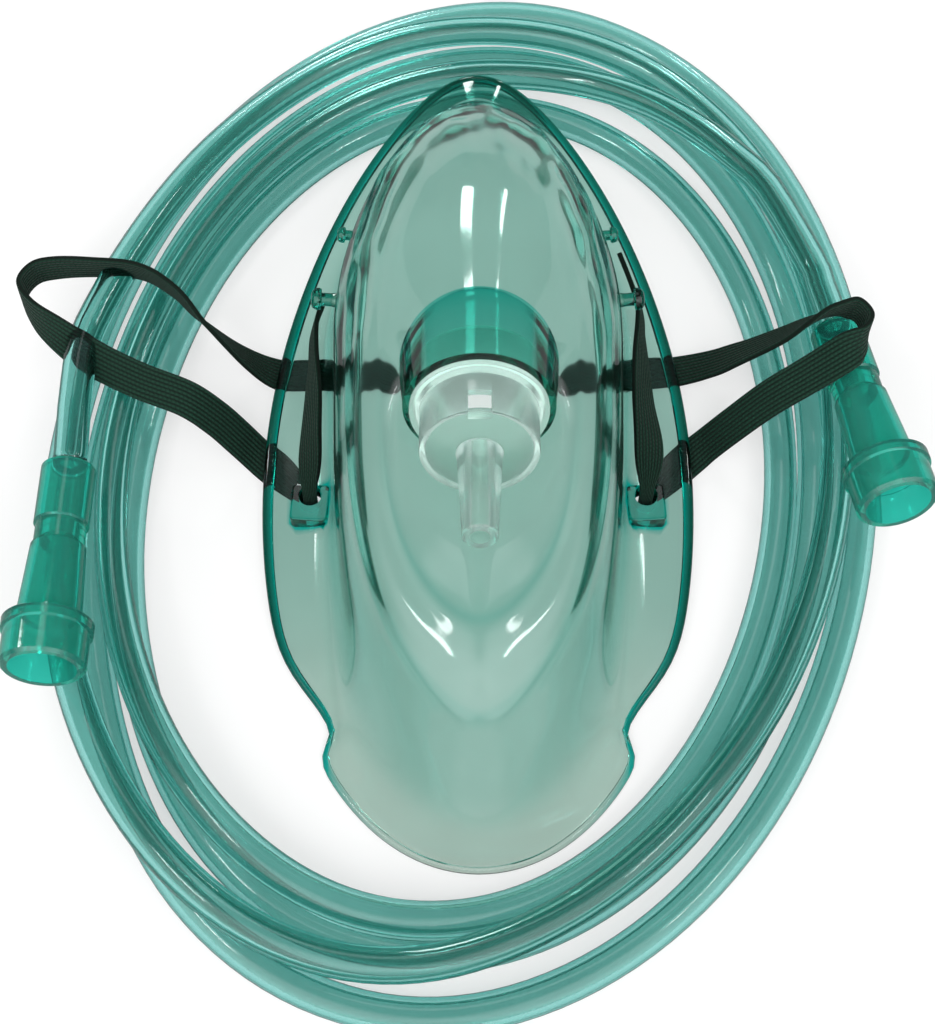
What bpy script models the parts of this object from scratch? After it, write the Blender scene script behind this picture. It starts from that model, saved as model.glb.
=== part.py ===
"""Adult elongated oxygen face mask with its port connector, elastic strap and coiled oxygen tube.

Metres, +Z up. The mask lies on its rim with the nose end towards +Y and the port upwards. The
origin lies on the floor, in the middle of the box round the mask and its strap.
"""
import math

import bmesh
import bpy
import numpy as np
from mathutils import Matrix, Vector

# Mask shell
WALL = 0.0015
RIM_BEAD_RADIUS = 0.0012
CHIN_BEAD_RADIUS = 0.0009
SHELL_COLUMNS = 72
NOTCH_Y = -0.0440
NOTCH_DEPTH = 0.0045
NOTCH_REACH_UP = 0.0100
NOTCH_REACH_DOWN = 0.0045

# Rings of the shell's outer face from the rim inwards. Each is a closed egg-shaped curve, given
# by its y at nose, cheek and chin, and by its half widths and heights at even steps from nose to chin.
RIM = (
    (0.0913, 0.0130, -0.0709),
    (0.0310, 0.0354, 0.0399, 0.0430, 0.0450),
    (0.0180, 0.0100, 0.0040, 0.0010, 0.0009))
FLANGE_ROOT = (
    (0.0828, 0.0130, -0.0650),
    (0.0230, 0.0255, 0.0293, 0.0313, 0.0291, 0.0297, 0.0325, 0.0325, 0.0310),
    (0.0205, 0.0135, 0.0060, 0.0068, 0.0105))
WALL_TOP = (
    (0.0795, 0.0130, -0.0580),
    (0.0215, 0.0240, 0.0268, 0.0280, 0.0265, 0.0268, 0.0268, 0.0240, 0.0220),
    (0.0250, 0.0265, 0.0240, 0.0205, 0.0190))
SHOULDER = (
    (0.0700, 0.0130, -0.0495),
    (0.0200, 0.0230, 0.0226, 0.0228, 0.0180),
    (0.0335, 0.0370, 0.0360, 0.0305, 0.0280))
CROWN = (
    (0.0450, 0.0100, -0.0370),
    (0.0150, 0.0175, 0.0175, 0.0180, 0.0150),
    (0.0485, 0.0470, 0.0410, 0.0335, 0.0333))
SHELL_RINGS = (RIM, FLANGE_ROOT, WALL_TOP, SHOULDER, CROWN)
STEPS_BETWEEN_RINGS = (3, 4, 3, 4, 4)
BEAD_SECTION = tuple(math.radians(turn) for turn in (140, 95, 50, 0, -50, -95, -140))

# Port collar, a short tube that leans from the chin side towards the front
PORT_MOUTH_Y = -0.0040
PORT_MOUTH_Z = 0.0466
PORT_RISE = math.radians(13.0)
PORT_BORE_RADIUS = 0.0110
COLLAR_MOUTH_RADIUS = 0.0130
COLLAR_ROOT_RADIUS = 0.0138
COLLAR_STEP = 0.0008
COLLAR_LENGTH_TOP = 0.0150
COLLAR_LENGTH_BOTTOM = 0.0030
COLLAR_STEPS = 3

# Ear tabs on the flange, and the mushroom posts on the cheeks
TAB_X = 0.0318
TAB_Y = -0.0012
TAB_WIDTH = 0.0072
TAB_LENGTH = 0.0076
TAB_UNDERSIDE_Z = 0.0028
TAB_TOP_Z = 0.0066
TAB_CORNER = 0.0010
TAB_TURN = math.radians(3.0)
STRAP_HOLE_RADIUS = 0.0022
STRAP_HOLE_Y = 0.0002
HOLE_SEGMENTS = 20
CORNER_SEGMENTS = 3
CHEEK_POST = {"at": (0.0277, 0.0388, 0.0147), "reach": 0.0048, "stem": 0.0013, "head": 0.0022, "cap": 0.0020}
BROW_POST = {"at": (0.0240, 0.0516, 0.0181), "reach": 0.0036, "stem": 0.0010, "head": 0.0016, "cap": 0.0016}
POST_RISE = math.radians(8.0)
POST_SINK = 0.0008
POST_ROOT = 1.25
POST_CAP = ((0.9, 0.0), (1.0, 0.3), (0.85, 0.75), (0.45, 1.0), (0.0, 1.0))
POST_SEGMENTS = 14

# Port connector, pushed into the collar
FIT_GAP = 0.0003
PLUG_LENGTH = 0.0080
CONNECTOR_RIM_RADIUS = 0.0119
CONNECTOR_RIM_THICKNESS = 0.0012
CONNECTOR_BODY_RADIUS = 0.0101
CONNECTOR_BODY_LENGTH = 0.0089
CONNECTOR_WALL = 0.0012
CONNECTOR_EDGE = 0.0005
SPIGOT_LENGTH = 0.0178
SPIGOT_ROOT_RADIUS = 0.00385
SPIGOT_TIP_RADIUS = 0.00300
SPIGOT_BORE_RADIUS = 0.0016
WINDOW_WIDTH = 0.0038
WINDOW_LENGTH = 0.0040
WINDOW_FROM_RIM = 0.0040

# Elastic strap
STRAP_WIDTH = 0.0070
STRAP_THICKNESS = 0.0010
STRAP_STEPS = 3

# Oxygen tube, its coil and its two end connectors
TUBE_RADIUS = 0.0032
COIL_HEIGHT = 0.0114
COIL_EDGE = 0.0030
COIL_CORNER = ((1.0, 0.0), (0.3, 0.2), (0.0, 0.8))
COIL_TURN = math.radians(-7.0)
COIL_OUTER_CENTRE = (-0.0021, 0.0138)
COIL_OUTER_HALF = (0.0795, 0.1125)
COIL_INNER_CENTRE = (-0.0040, 0.0065)
COIL_INNER_HALF = (0.0585, 0.0850)
COIL_COLUMNS = 64
FUNNEL_LENGTH = 0.0407
FUNNEL_SOCKET_RADIUS = 0.0050
FUNNEL_NECK_RADIUS = 0.0046
FUNNEL_BODY_RADIUS = 0.0060
FUNNEL_CUFF_RADIUS = 0.0083
FUNNEL_LIP_RADIUS = 0.0087
FUNNEL_SOCKET_DEPTH = 0.0120
FUNNEL_NECK_LENGTH = 0.0045
FUNNEL_CUFF_LENGTH = 0.0095
FUNNEL_MOUTH_RADIUS = 0.0065
FUNNEL_STOP_RADIUS = 0.0021
FUNNEL_STOP_THICKNESS = 0.0030
FUNNEL_FLARE_LENGTH = 0.0012
FUNNEL_LIP_LENGTH = 0.0021
FUNNEL_WALL = 0.0014
FUNNEL_EDGE = 0.0003
LEFT_FUNNEL_SMALL_END = (-0.0756, 0.0016, 0.0168)
LEFT_FUNNEL_MOUTH = (-0.0760, -0.0400, 0.0218)
RIGHT_FUNNEL_SMALL_END = (0.0686, 0.0303, 0.0168)
RIGHT_FUNNEL_MOUTH = (0.0755, -0.0105, 0.0218)
TURNED_SEGMENTS = 24
MERGE_DISTANCE = 1e-7

# Route of the strap from its left end to its right end: place, direction of its width, width
# and thickness as shares of the flat strap's. It is bunched where it passes the tab holes.
STRAP_ROUTE = (
    ((-0.0306, 0.0407, 0.0105), (0.20, 0.0, 1.0), 0.74, 1.0),
    ((-0.0314, 0.0384, 0.0099), (0.20, 0.0, 1.0), 0.70, 1.0),
    ((-0.0324, 0.0344, 0.0098), (0.25, 0.0, 1.0), 0.86, 1.0),
    ((-0.0331, 0.0279, 0.0092), (0.30, 0.0, 1.0), 0.95, 1.0),
    ((-0.0334, 0.0201, 0.0086), (0.60, 0.0, 1.0), 0.90, 1.0),
    ((-0.0331, 0.0114, 0.0085), (0.80, 0.0, 0.9), 0.85, 1.1),
    ((-0.0323, 0.0052, 0.0091), (1.0, 0.0, 0.5), 0.65, 1.3),
    ((-0.0318, 0.0014, 0.0083), (1.0, 0.0, 0.2), 0.42, 1.6),
    ((-0.0318, 0.0002, 0.0062), (1.0, 0.1, 0.0), 0.38, 1.6),
    ((-0.0318, 0.0002, 0.0038), (1.0, 0.2, 0.0), 0.38, 1.6),
    ((-0.0320, 0.0006, 0.0021), (0.9, 0.4, 0.0), 0.40, 1.4),
    ((-0.0331, 0.0022, 0.0009), (0.8, 0.6, 0.0), 0.55, 1.1),
    ((-0.0354, 0.0049, 0.0007), (0.7, 0.7, 0.0), 0.80, 1.0),
    ((-0.0390, 0.0085, 0.0007), (0.6, 0.8, 0.0), 1.0, 1.0),
    ((-0.0429, 0.0118, 0.0013), (0.5, 0.9, 0.0), 1.0, 1.0),
    ((-0.0464, 0.0139, 0.0046), (0.5, 0.9, 0.1), 1.0, 1.0),
    ((-0.0502, 0.0155, 0.0092), (0.4, 0.9, 0.2), 1.0, 1.0),
    ((-0.0555, 0.0173, 0.0135), (0.3, 0.9, 0.30), 1.0, 1.0),
    ((-0.0644, 0.0207, 0.0144), (0.3, 0.9, 0.40), 1.0, 1.0),
    ((-0.0738, 0.0257, 0.0146), (0.4, 0.8, 0.50), 1.0, 1.0),
    ((-0.0814, 0.0312, 0.0150), (0.3, 0.5, 0.80), 1.0, 1.0),
    ((-0.0863, 0.0358, 0.0152), (0.1, 0.2, 1.0), 1.0, 1.0),
    ((-0.0889, 0.0407, 0.0152), (0.0, 0.0, 1.0), 1.0, 1.0),
    ((-0.0870, 0.0447, 0.0152), (0.0, 0.0, 1.0), 1.0, 1.0),
    ((-0.0828, 0.0460, 0.0153), (0.0, 0.0, 1.0), 1.0, 1.0),
    ((-0.0755, 0.0461, 0.0154), (0.0, -0.1, 1.0), 1.0, 1.0),
    ((-0.0662, 0.0450, 0.0156), (0.1, -0.2, 1.0), 1.0, 1.0),
    ((-0.0590, 0.0404, 0.0154), (0.3, -0.4, 0.9), 1.0, 1.0),
    ((-0.0534, 0.0351, 0.0126), (0.4, -0.7, 0.6), 1.0, 1.0),
    ((-0.0466, 0.0318, 0.0060), (0.3, -0.9, 0.3), 1.0, 1.0),
    ((-0.0400, 0.0301, 0.0014), (0.1, -1.0, 0.0), 1.0, 1.0),
    ((-0.0334, 0.0299, 0.0007), (0.0, -1.0, 0.0), 1.0, 1.0),
    ((-0.0234, 0.0304, 0.0007), (0.0, -1.0, 0.0), 1.0, 1.0),
    ((-0.0015, 0.0308, 0.0007), (0.0, -1.0, 0.0), 1.0, 1.0),
    ((0.0224, 0.0300, 0.0007), (0.0, -1.0, 0.0), 1.0, 1.0),
    ((0.0344, 0.0304, 0.0007), (0.0, -1.0, 0.0), 1.0, 1.0),
    ((0.0408, 0.0308, 0.0016), (0.0, -1.0, 0.1), 1.0, 1.0),
    ((0.0463, 0.0302, 0.0052), (0.0, -1.0, 0.3), 1.0, 1.0),
    ((0.0510, 0.0292, 0.0105), (0.0, -0.9, 0.5), 1.0, 1.0),
    ((0.0580, 0.0288, 0.0175), (0.0, -0.8, 0.7), 1.0, 1.0),
    ((0.0636, 0.0285, 0.0240), (0.0, -0.5, 0.9), 1.0, 1.0),
    ((0.0672, 0.0284, 0.0270), (0.0, -0.2, 1.0), 1.0, 1.0),
    ((0.0702, 0.0285, 0.0274), (0.0, 0.0, 1.0), 1.0, 1.0),
    ((0.0720, 0.0257, 0.0274), (0.1, 0.0, 1.0), 1.0, 1.0),
    ((0.0712, 0.0222, 0.0273), (0.0, 0.4, 0.9), 1.0, 1.0),
    ((0.0680, 0.0198, 0.0264), (-0.1, 0.7, 0.6), 1.0, 1.0),
    ((0.0623, 0.0182, 0.0214), (-0.2, 0.9, 0.4), 1.0, 1.0),
    ((0.0550, 0.0164, 0.0150), (-0.2, 0.9, 0.3), 1.0, 1.0),
    ((0.0488, 0.0147, 0.0078), (-0.3, 0.9, 0.1), 1.0, 1.0),
    ((0.0443, 0.0134, 0.0021), (-0.4, 0.9, 0.0), 1.0, 1.0),
    ((0.0410, 0.0110, 0.0008), (-0.6, 0.8, 0.0), 1.0, 1.0),
    ((0.0377, 0.0078, 0.0007), (-0.7, 0.7, 0.0), 0.95, 1.0),
    ((0.0347, 0.0044, 0.0007), (-0.8, 0.6, 0.0), 0.75, 1.0),
    ((0.0327, 0.0018, 0.0010), (-0.8, 0.5, 0.0), 0.50, 1.1),
    ((0.0319, 0.0005, 0.0022), (-0.9, 0.3, 0.0), 0.40, 1.4),
    ((0.0318, 0.0002, 0.0040), (-1.0, 0.2, 0.0), 0.38, 1.6),
    ((0.0318, 0.0002, 0.0062), (-1.0, 0.1, 0.0), 0.38, 1.6),
    ((0.0319, 0.0014, 0.0083), (-1.0, 0.0, 0.1), 0.42, 1.6),
    ((0.0328, 0.0054, 0.0091), (-1.0, 0.0, 0.3), 0.75, 1.2),
    ((0.0336, 0.0114, 0.0087), (-0.9, 0.0, 0.6), 0.95, 1.0),
    ((0.0331, 0.0201, 0.0086), (-0.7, 0.0, 0.9), 1.0, 1.0),
    ((0.0327, 0.0288, 0.0094), (-0.5, 0.0, 1.0), 1.0, 1.0),
    ((0.0325, 0.0350, 0.0099), (-0.3, 0.0, 1.0), 0.86, 1.0),
    ((0.0320, 0.0386, 0.0099), (-0.3, 0.0, 1.0), 0.72, 1.0),
    ((0.0313, 0.0422, 0.0107), (-0.3, 0.0, 1.0), 0.80, 1.0),
    ((0.0299, 0.0466, 0.0116), (-0.3, 0.0, 1.0), 0.75, 1.0),
    ((0.0283, 0.0508, 0.0128), (-0.3, 0.0, 1.0), 0.50, 1.0),
)

# Routes of the two short stretches of tube between the coil and the funnels
LEFT_TUBE_ROUTE = (
    (-0.0756, 0.0019, 0.0168),
    (-0.0757, 0.0070, 0.0162),
    (-0.0760, 0.0120, 0.0153),
    (-0.0762, 0.0170, 0.0149),
)
RIGHT_TUBE_ROUTE = (
    (0.0685, 0.0306, 0.0168),
    (0.0678, 0.0360, 0.0160),
    (0.0668, 0.0420, 0.0152),
    (0.0655, 0.0480, 0.0149),
)
TUBE_STEPS = 3


def clear_objects():
    for item in list(bpy.data.objects):
        bpy.data.objects.remove(item, do_unlink=True)


def make_material(name, colour, roughness, transmission=0.0):
    material = bpy.data.materials.new(name)
    material.use_nodes = True
    shader = material.node_tree.nodes["Principled BSDF"]
    shader.inputs["Base Color"].default_value = (*colour, 1.0)
    shader.inputs["Roughness"].default_value = roughness
    shader.inputs["Metallic"].default_value = 0.0
    shader.inputs["Transmission Weight"].default_value = transmission
    return material


def add_object(name, mesh, material, sharp_angle=math.radians(35.0)):
    mesh.materials.clear()
    mesh.materials.append(material)
    mesh.shade_smooth()
    mesh.set_sharp_from_angle(angle=sharp_angle)
    item = bpy.data.objects.new(name, mesh)
    bpy.context.scene.collection.objects.link(item)
    return item


def mesh_from(bm, name):
    bmesh.ops.recalc_face_normals(bm, faces=bm.faces)
    if bm.calc_volume(signed=True) < 0.0:
        bmesh.ops.reverse_faces(bm, faces=bm.faces)
    mesh = bpy.data.meshes.new(name)
    bm.to_mesh(mesh)
    bm.free()
    return mesh


def blend(before, start, end, after, t):
    """Point a share t of the way from start to end on the smooth curve through four points."""
    return 0.5 * (2 * start + (end - before) * t
                  + (2 * before - 5 * start + 4 * end - after) * t * t
                  + (3 * start - before - 3 * end + after) * t ** 3)


def curve_through(points, steps):
    """Points on a smooth open curve through the given points, with so many steps to each span."""
    points = np.asarray(points, dtype=float)
    padded = [2 * points[0] - points[1], *points, 2 * points[-1] - points[-2]]
    spans = len(points) - 1
    counts = [steps] * spans if isinstance(steps, int) else steps
    found = []
    for span in range(spans):
        found.extend(blend(*padded[span:span + 4], step / counts[span]) for step in range(counts[span]))
    found.append(points[-1])
    return np.array(found)


def around(values, angle):
    """Smooth value at an angle from nose to chin, from its values at even steps from nose to chin."""
    loop = (*values, *values[-2:0:-1])
    place = (angle % math.tau) * len(loop) / math.tau
    index = int(place)
    return blend(*(loop[(index + k) % len(loop)] for k in (-1, 0, 1, 2)), place - index)


def ring_point(ring, angle):
    """Point of an egg-shaped ring, at an angle from the nose towards the right cheek."""
    (nose_y, cheek_y, chin_y), widths, heights = ring
    along = math.cos(angle)
    half_length = nose_y - cheek_y if along > 0 else cheek_y - chin_y
    return np.array((math.sin(angle) * around(widths, angle),
                     cheek_y + half_length * along,
                     around(heights, angle)))


def notched(point):
    """Rim point drawn in where the flange is cut away between cheek and chin."""
    away = point[1] - NOTCH_Y
    reach = NOTCH_REACH_UP if away > 0 else NOTCH_REACH_DOWN
    depth = NOTCH_DEPTH * math.exp(-(away / reach) ** 2)
    return np.array((point[0] - math.copysign(depth, point[0]), point[1], point[2]))


def port_frame():
    """Mouth centre, outward direction and upward direction of the port."""
    mouth = np.array((0.0, PORT_MOUTH_Y, PORT_MOUTH_Z))
    outward = np.array((0.0, -math.cos(PORT_RISE), math.sin(PORT_RISE)))
    upward = np.array((0.0, math.sin(PORT_RISE), math.cos(PORT_RISE)))
    return mouth, outward, upward


def collar_point(angle, radius, back):
    """Point on a circle round the port, so far back from its mouth."""
    mouth, outward, upward = port_frame()
    side = np.array((1.0, 0.0, 0.0))
    return mouth - outward * back + radius * (math.cos(angle) * upward + math.sin(angle) * side)


def collar_length(angle):
    share = (1 + math.cos(angle)) / 2
    return COLLAR_LENGTH_BOTTOM + (COLLAR_LENGTH_TOP - COLLAR_LENGTH_BOTTOM) * share


def outer_line(angle):
    """Outer face of the shell along one line from the rim to the root of the collar."""
    stops = [ring_point(ring, angle) for ring in SHELL_RINGS]
    stops[0] = notched(stops[0])
    stops.append(collar_point(angle, COLLAR_ROOT_RADIUS - COLLAR_STEP, collar_length(angle) + COLLAR_STEP))
    return curve_through(stops, STEPS_BETWEEN_RINGS)


def shell_rings():
    """Closed rings over the outer face, round the rim bead and back along the inner face."""
    angles = [math.tau * k / SHELL_COLUMNS for k in range(SHELL_COLUMNS)]
    outer = np.stack([outer_line(angle) for angle in angles], axis=1)
    inwards = np.gradient(outer, axis=0)
    sideways = np.roll(outer, -1, axis=1) - np.roll(outer, 1, axis=1)
    normals = np.cross(inwards, sideways)
    normals /= np.linalg.norm(normals, axis=2, keepdims=True)
    if normals[len(outer) // 2, :, 2].mean() < 0:
        normals = -normals
    inner = outer - WALL * normals

    rings = [[collar_point(a, COLLAR_MOUTH_RADIUS, 0.0) for a in angles]]
    for k in range(1, COLLAR_STEPS + 1):
        share = k / COLLAR_STEPS
        radius = COLLAR_MOUTH_RADIUS + (COLLAR_ROOT_RADIUS - COLLAR_MOUTH_RADIUS) * share
        rings.append([collar_point(a, radius, collar_length(a) * share) for a in angles])
    rings.extend(outer[::-1])
    rings.pop()

    rim = outer[0]
    outwards = rim - outer[1]
    outwards /= np.linalg.norm(outwards, axis=1, keepdims=True)
    radii = np.array([around((RIM_BEAD_RADIUS, RIM_BEAD_RADIUS, RIM_BEAD_RADIUS,
                              CHIN_BEAD_RADIUS, CHIN_BEAD_RADIUS), a) for a in angles])[:, None]
    centres = rim - normals[0] * WALL / 2
    for lean in BEAD_SECTION:
        rings.append(centres + radii * (math.cos(lean) * outwards + math.sin(lean) * normals[0]))
    rings.extend(inner[1:])
    rings.append([collar_point(a, PORT_BORE_RADIUS, collar_length(a) + 2 * COLLAR_STEP) for a in angles])
    rings.append([collar_point(a, PORT_BORE_RADIUS, collar_length(a) / 2) for a in angles])
    rings.append([collar_point(a, PORT_BORE_RADIUS, 0.0) for a in angles])
    return [[(p[0], p[1], max(p[2], 0.0)) for p in ring] for ring in rings]


def extrude_rings(bm, rings, capped=False):
    """Draw the first closed ring and extrude it from ring to ring.

    The last ring is then bridged to the first, or both ends are capped.
    """
    first = [bm.verts.new(p) for p in rings[0]]
    loop = [bm.edges.new((first[k], first[(k + 1) % len(first)])) for k in range(len(first))]
    start = loop
    verts = first
    for ring in rings[1:]:
        grown = bmesh.ops.extrude_edge_only(bm, edges=loop)["geom"]
        new_edges = [g for g in grown if isinstance(g, bmesh.types.BMEdge)]
        new_verts = {g for g in grown if isinstance(g, bmesh.types.BMVert)}
        moved = []
        for vert, place in zip(verts, ring):
            twin = next(e.other_vert(vert) for e in vert.link_edges if e.other_vert(vert) in new_verts)
            twin.co = place
            moved.append(twin)
        verts = moved
        loop = [e for e in new_edges if e.verts[0] in new_verts and e.verts[1] in new_verts]
    if capped:
        bm.faces.new(first)
        bm.faces.new(verts)
    else:
        bmesh.ops.bridge_loops(bm, edges=start + loop)


def spin_profile(bm, profile, segments):
    """Turn a profile of (radius, height) corners about +Z. It is open where it ends on the axis."""
    verts = [bm.verts.new((radius, 0.0, height)) for radius, height in profile]
    pairs = list(zip(verts, verts[1:]))
    if profile[0][0] > 0.0:
        pairs.append((verts[-1], verts[0]))
    edges = [bm.edges.new(pair) for pair in pairs]
    bmesh.ops.spin(bm, geom=verts + edges, cent=(0, 0, 0), axis=(0, 0, 1), angle=math.tau,
                   steps=segments, use_merge=True, use_duplicate=False)
    bmesh.ops.remove_doubles(bm, verts=bm.verts, dist=MERGE_DISTANCE)


def turned_mesh(name, profile):
    bm = bmesh.new()
    spin_profile(bm, profile, TURNED_SEGMENTS)
    return mesh_from(bm, name)


def point_along(item, start, direction, upward=(0.0, 0.0, 1.0)):
    """Stand an object's own +Z along a direction, with its +Y as near as can be to upward."""
    axis = Vector(direction).normalized()
    side = Vector(upward).cross(axis).normalized()
    up = axis.cross(side)
    turn = Matrix((side, up, axis)).transposed()
    item.matrix_world = Matrix.Translation(Vector(start)) @ turn.to_4x4()


def strap_tab_mesh(side):
    """Block through the flange that carries the strap hole."""
    bm = bmesh.new()
    bmesh.ops.create_cube(bm, size=1.0)
    height = TAB_TOP_Z - TAB_UNDERSIDE_Z
    bmesh.ops.scale(bm, verts=bm.verts, vec=(TAB_WIDTH, TAB_LENGTH, height))
    upright = [e for e in bm.edges if abs(e.verts[0].co.z - e.verts[1].co.z) > height / 2]
    bmesh.ops.bevel(bm, geom=upright, offset=TAB_CORNER, segments=CORNER_SEGMENTS, profile=0.5,
                    affect="EDGES", material=-1)
    bmesh.ops.rotate(bm, verts=bm.verts, cent=(0, 0, 0), matrix=Matrix.Rotation(side * TAB_TURN, 3, "Z"))
    middle = (TAB_TOP_Z + TAB_UNDERSIDE_Z) / 2
    bmesh.ops.translate(bm, verts=bm.verts, vec=(side * TAB_X, TAB_Y, middle))
    return mesh_from(bm, "strap_tab")


def strap_hole_mesh(side):
    bm = bmesh.new()
    bmesh.ops.create_cone(bm, cap_ends=True, segments=HOLE_SEGMENTS, radius1=STRAP_HOLE_RADIUS,
                          radius2=STRAP_HOLE_RADIUS, depth=4 * (TAB_TOP_Z - TAB_UNDERSIDE_Z))
    bmesh.ops.translate(bm, verts=bm.verts, vec=(side * TAB_X, STRAP_HOLE_Y, TAB_TOP_Z))
    return mesh_from(bm, "strap_hole")


def post_mesh(post, side):
    """Mushroom post that stands sideways out of the cheek."""
    reach, stem, head, cap = post["reach"], post["stem"], post["head"], post["cap"]
    neck = reach - cap
    stalk = [(0.0, -POST_SINK), (stem * POST_ROOT, -POST_SINK), (stem, POST_SINK), (stem, neck)]
    top = [(head * out, neck + cap * up) for out, up in POST_CAP]
    bm = bmesh.new()
    spin_profile(bm, stalk + top, POST_SEGMENTS)
    direction = Vector((side * math.cos(POST_RISE), 0.0, math.sin(POST_RISE)))
    turn = Vector((0.0, 0.0, 1.0)).rotation_difference(direction).to_matrix()
    bmesh.ops.rotate(bm, verts=bm.verts, cent=(0, 0, 0), matrix=turn)
    at = post["at"]
    bmesh.ops.translate(bm, verts=bm.verts, vec=(side * at[0], at[1], at[2]))
    return mesh_from(bm, "post")


def cutter_object(name, mesh):
    item = bpy.data.objects.new(name, mesh)
    bpy.context.scene.collection.objects.link(item)
    item.hide_render = True
    item.display_type = "WIRE"
    return item


def combine(item, mesh, operation, name):
    modifier = item.modifiers.new(name, "BOOLEAN")
    modifier.operation = operation
    modifier.solver = "EXACT"
    modifier.object = cutter_object(name, mesh)


def make_mask_shell(material):
    bm = bmesh.new()
    extrude_rings(bm, shell_rings())
    shell = add_object("mask_shell", mesh_from(bm, "mask_shell"), material)
    for label, side in (("left", -1), ("right", 1)):
        combine(shell, strap_tab_mesh(side), "UNION", label + "_tab")
        combine(shell, strap_hole_mesh(side), "DIFFERENCE", label + "_strap_hole")
        combine(shell, post_mesh(CHEEK_POST, side), "UNION", label + "_cheek_post")
        combine(shell, post_mesh(BROW_POST, side), "UNION", label + "_brow_post")
    return shell


def make_port_connector(material):
    """Turned connector with a bored spigot, its own +Z along the port and 0 at the collar's mouth."""
    plug = PORT_BORE_RADIUS - FIT_GAP
    bore = CONNECTOR_BODY_RADIUS - CONNECTOR_WALL
    face = FIT_GAP + CONNECTOR_RIM_THICKNESS + CONNECTOR_BODY_LENGTH
    tip = face + SPIGOT_LENGTH
    profile = (
        (bore, -PLUG_LENGTH), (plug - CONNECTOR_EDGE / 2, -PLUG_LENGTH), (plug, -PLUG_LENGTH + CONNECTOR_EDGE),
        (plug, FIT_GAP), (CONNECTOR_RIM_RADIUS, FIT_GAP),
        (CONNECTOR_RIM_RADIUS, FIT_GAP + CONNECTOR_RIM_THICKNESS - CONNECTOR_EDGE),
        (CONNECTOR_RIM_RADIUS - CONNECTOR_EDGE, FIT_GAP + CONNECTOR_RIM_THICKNESS),
        (CONNECTOR_BODY_RADIUS, FIT_GAP + CONNECTOR_RIM_THICKNESS),
        (CONNECTOR_BODY_RADIUS, face - CONNECTOR_EDGE), (CONNECTOR_BODY_RADIUS - CONNECTOR_EDGE, face),
        (SPIGOT_ROOT_RADIUS + CONNECTOR_EDGE, face), (SPIGOT_ROOT_RADIUS, face + CONNECTOR_EDGE),
        (SPIGOT_TIP_RADIUS, tip - CONNECTOR_EDGE / 2), (SPIGOT_TIP_RADIUS - CONNECTOR_EDGE / 2, tip),
        (SPIGOT_BORE_RADIUS, tip), (SPIGOT_BORE_RADIUS, face - CONNECTOR_WALL),
        (bore, face - CONNECTOR_WALL))
    item = add_object("port_connector", turned_mesh("port_connector", profile), material)
    bm = bmesh.new()
    bmesh.ops.create_cube(bm, size=1.0)
    bmesh.ops.scale(bm, verts=bm.verts, vec=(WINDOW_WIDTH, 4 * CONNECTOR_WALL, WINDOW_LENGTH))
    along = FIT_GAP + CONNECTOR_RIM_THICKNESS + WINDOW_FROM_RIM + WINDOW_LENGTH / 2
    bmesh.ops.translate(bm, verts=bm.verts, vec=(0.0, CONNECTOR_BODY_RADIUS, along))
    combine(item, mesh_from(bm, "window"), "DIFFERENCE", "window")
    mouth, outward, upward = port_frame()
    point_along(item, mouth, outward, upward)
    window = item.modifiers["window"].object
    point_along(window, mouth, outward, upward)
    return item


def make_strap(material):
    places = curve_through([stop[0] for stop in STRAP_ROUTE], STRAP_STEPS)
    widths = curve_through([stop[1] for stop in STRAP_ROUTE], STRAP_STEPS)
    shares = curve_through([stop[2:] for stop in STRAP_ROUTE], STRAP_STEPS)
    forward = np.gradient(places, axis=0)
    forward /= np.linalg.norm(forward, axis=1, keepdims=True)
    across = widths - forward * np.sum(widths * forward, axis=1, keepdims=True)
    across /= np.linalg.norm(across, axis=1, keepdims=True)
    through = np.cross(forward, across)
    half_width = shares[:, :1] * STRAP_WIDTH / 2
    half_thick = shares[:, 1:] * STRAP_THICKNESS / 2
    corners = ((1, 1), (-1, 1), (-1, -1), (1, -1))
    rings = [[places[k] + a * half_width[k] * across[k] + b * half_thick[k] * through[k] for a, b in corners]
             for k in range(len(places))]
    bm = bmesh.new()
    extrude_rings(bm, rings, capped=True)
    return add_object("elastic_strap", mesh_from(bm, "elastic_strap"), material)


def make_coil(material):
    """Closed ring with the outer shape of the bundle of turns."""
    def oval(centre, half, angle, z):
        x, y = half[0] * math.cos(angle), half[1] * math.sin(angle)
        c, s = math.cos(COIL_TURN), math.sin(COIL_TURN)
        return centre[0] + c * x - s * y, centre[1] + s * x + c * y, z

    corner = [(COIL_EDGE * inset, COIL_EDGE * z) for inset, z in COIL_CORNER]
    section = [*corner, *((inset, COIL_HEIGHT - z) for inset, z in reversed(corner))]
    turns = [math.tau * k / COIL_COLUMNS for k in range(COIL_COLUMNS)]
    rings = []
    for inset, z in section:
        half = (COIL_OUTER_HALF[0] - inset, COIL_OUTER_HALF[1] - inset)
        rings.append([oval(COIL_OUTER_CENTRE, half, turn, z) for turn in turns])
    for inset, z in reversed(section):
        half = (COIL_INNER_HALF[0] + inset, COIL_INNER_HALF[1] + inset)
        rings.append([oval(COIL_INNER_CENTRE, half, turn, z) for turn in turns])
    bm = bmesh.new()
    extrude_rings(bm, rings)
    return add_object("tube_coil", mesh_from(bm, "tube_coil"), material)


def make_tube(name, route, material):
    points = curve_through(route, TUBE_STEPS)
    curve = bpy.data.curves.new(name, "CURVE")
    curve.dimensions = "3D"
    curve.bevel_depth = TUBE_RADIUS
    curve.bevel_resolution = 3
    curve.use_fill_caps = True
    spline = curve.splines.new("POLY")
    spline.points.add(len(points) - 1)
    for point, place in zip(spline.points, points):
        point.co = (*place, 1.0)
    curve.materials.append(material)
    item = bpy.data.objects.new(name, curve)
    bpy.context.scene.collection.objects.link(item)
    return item


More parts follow.
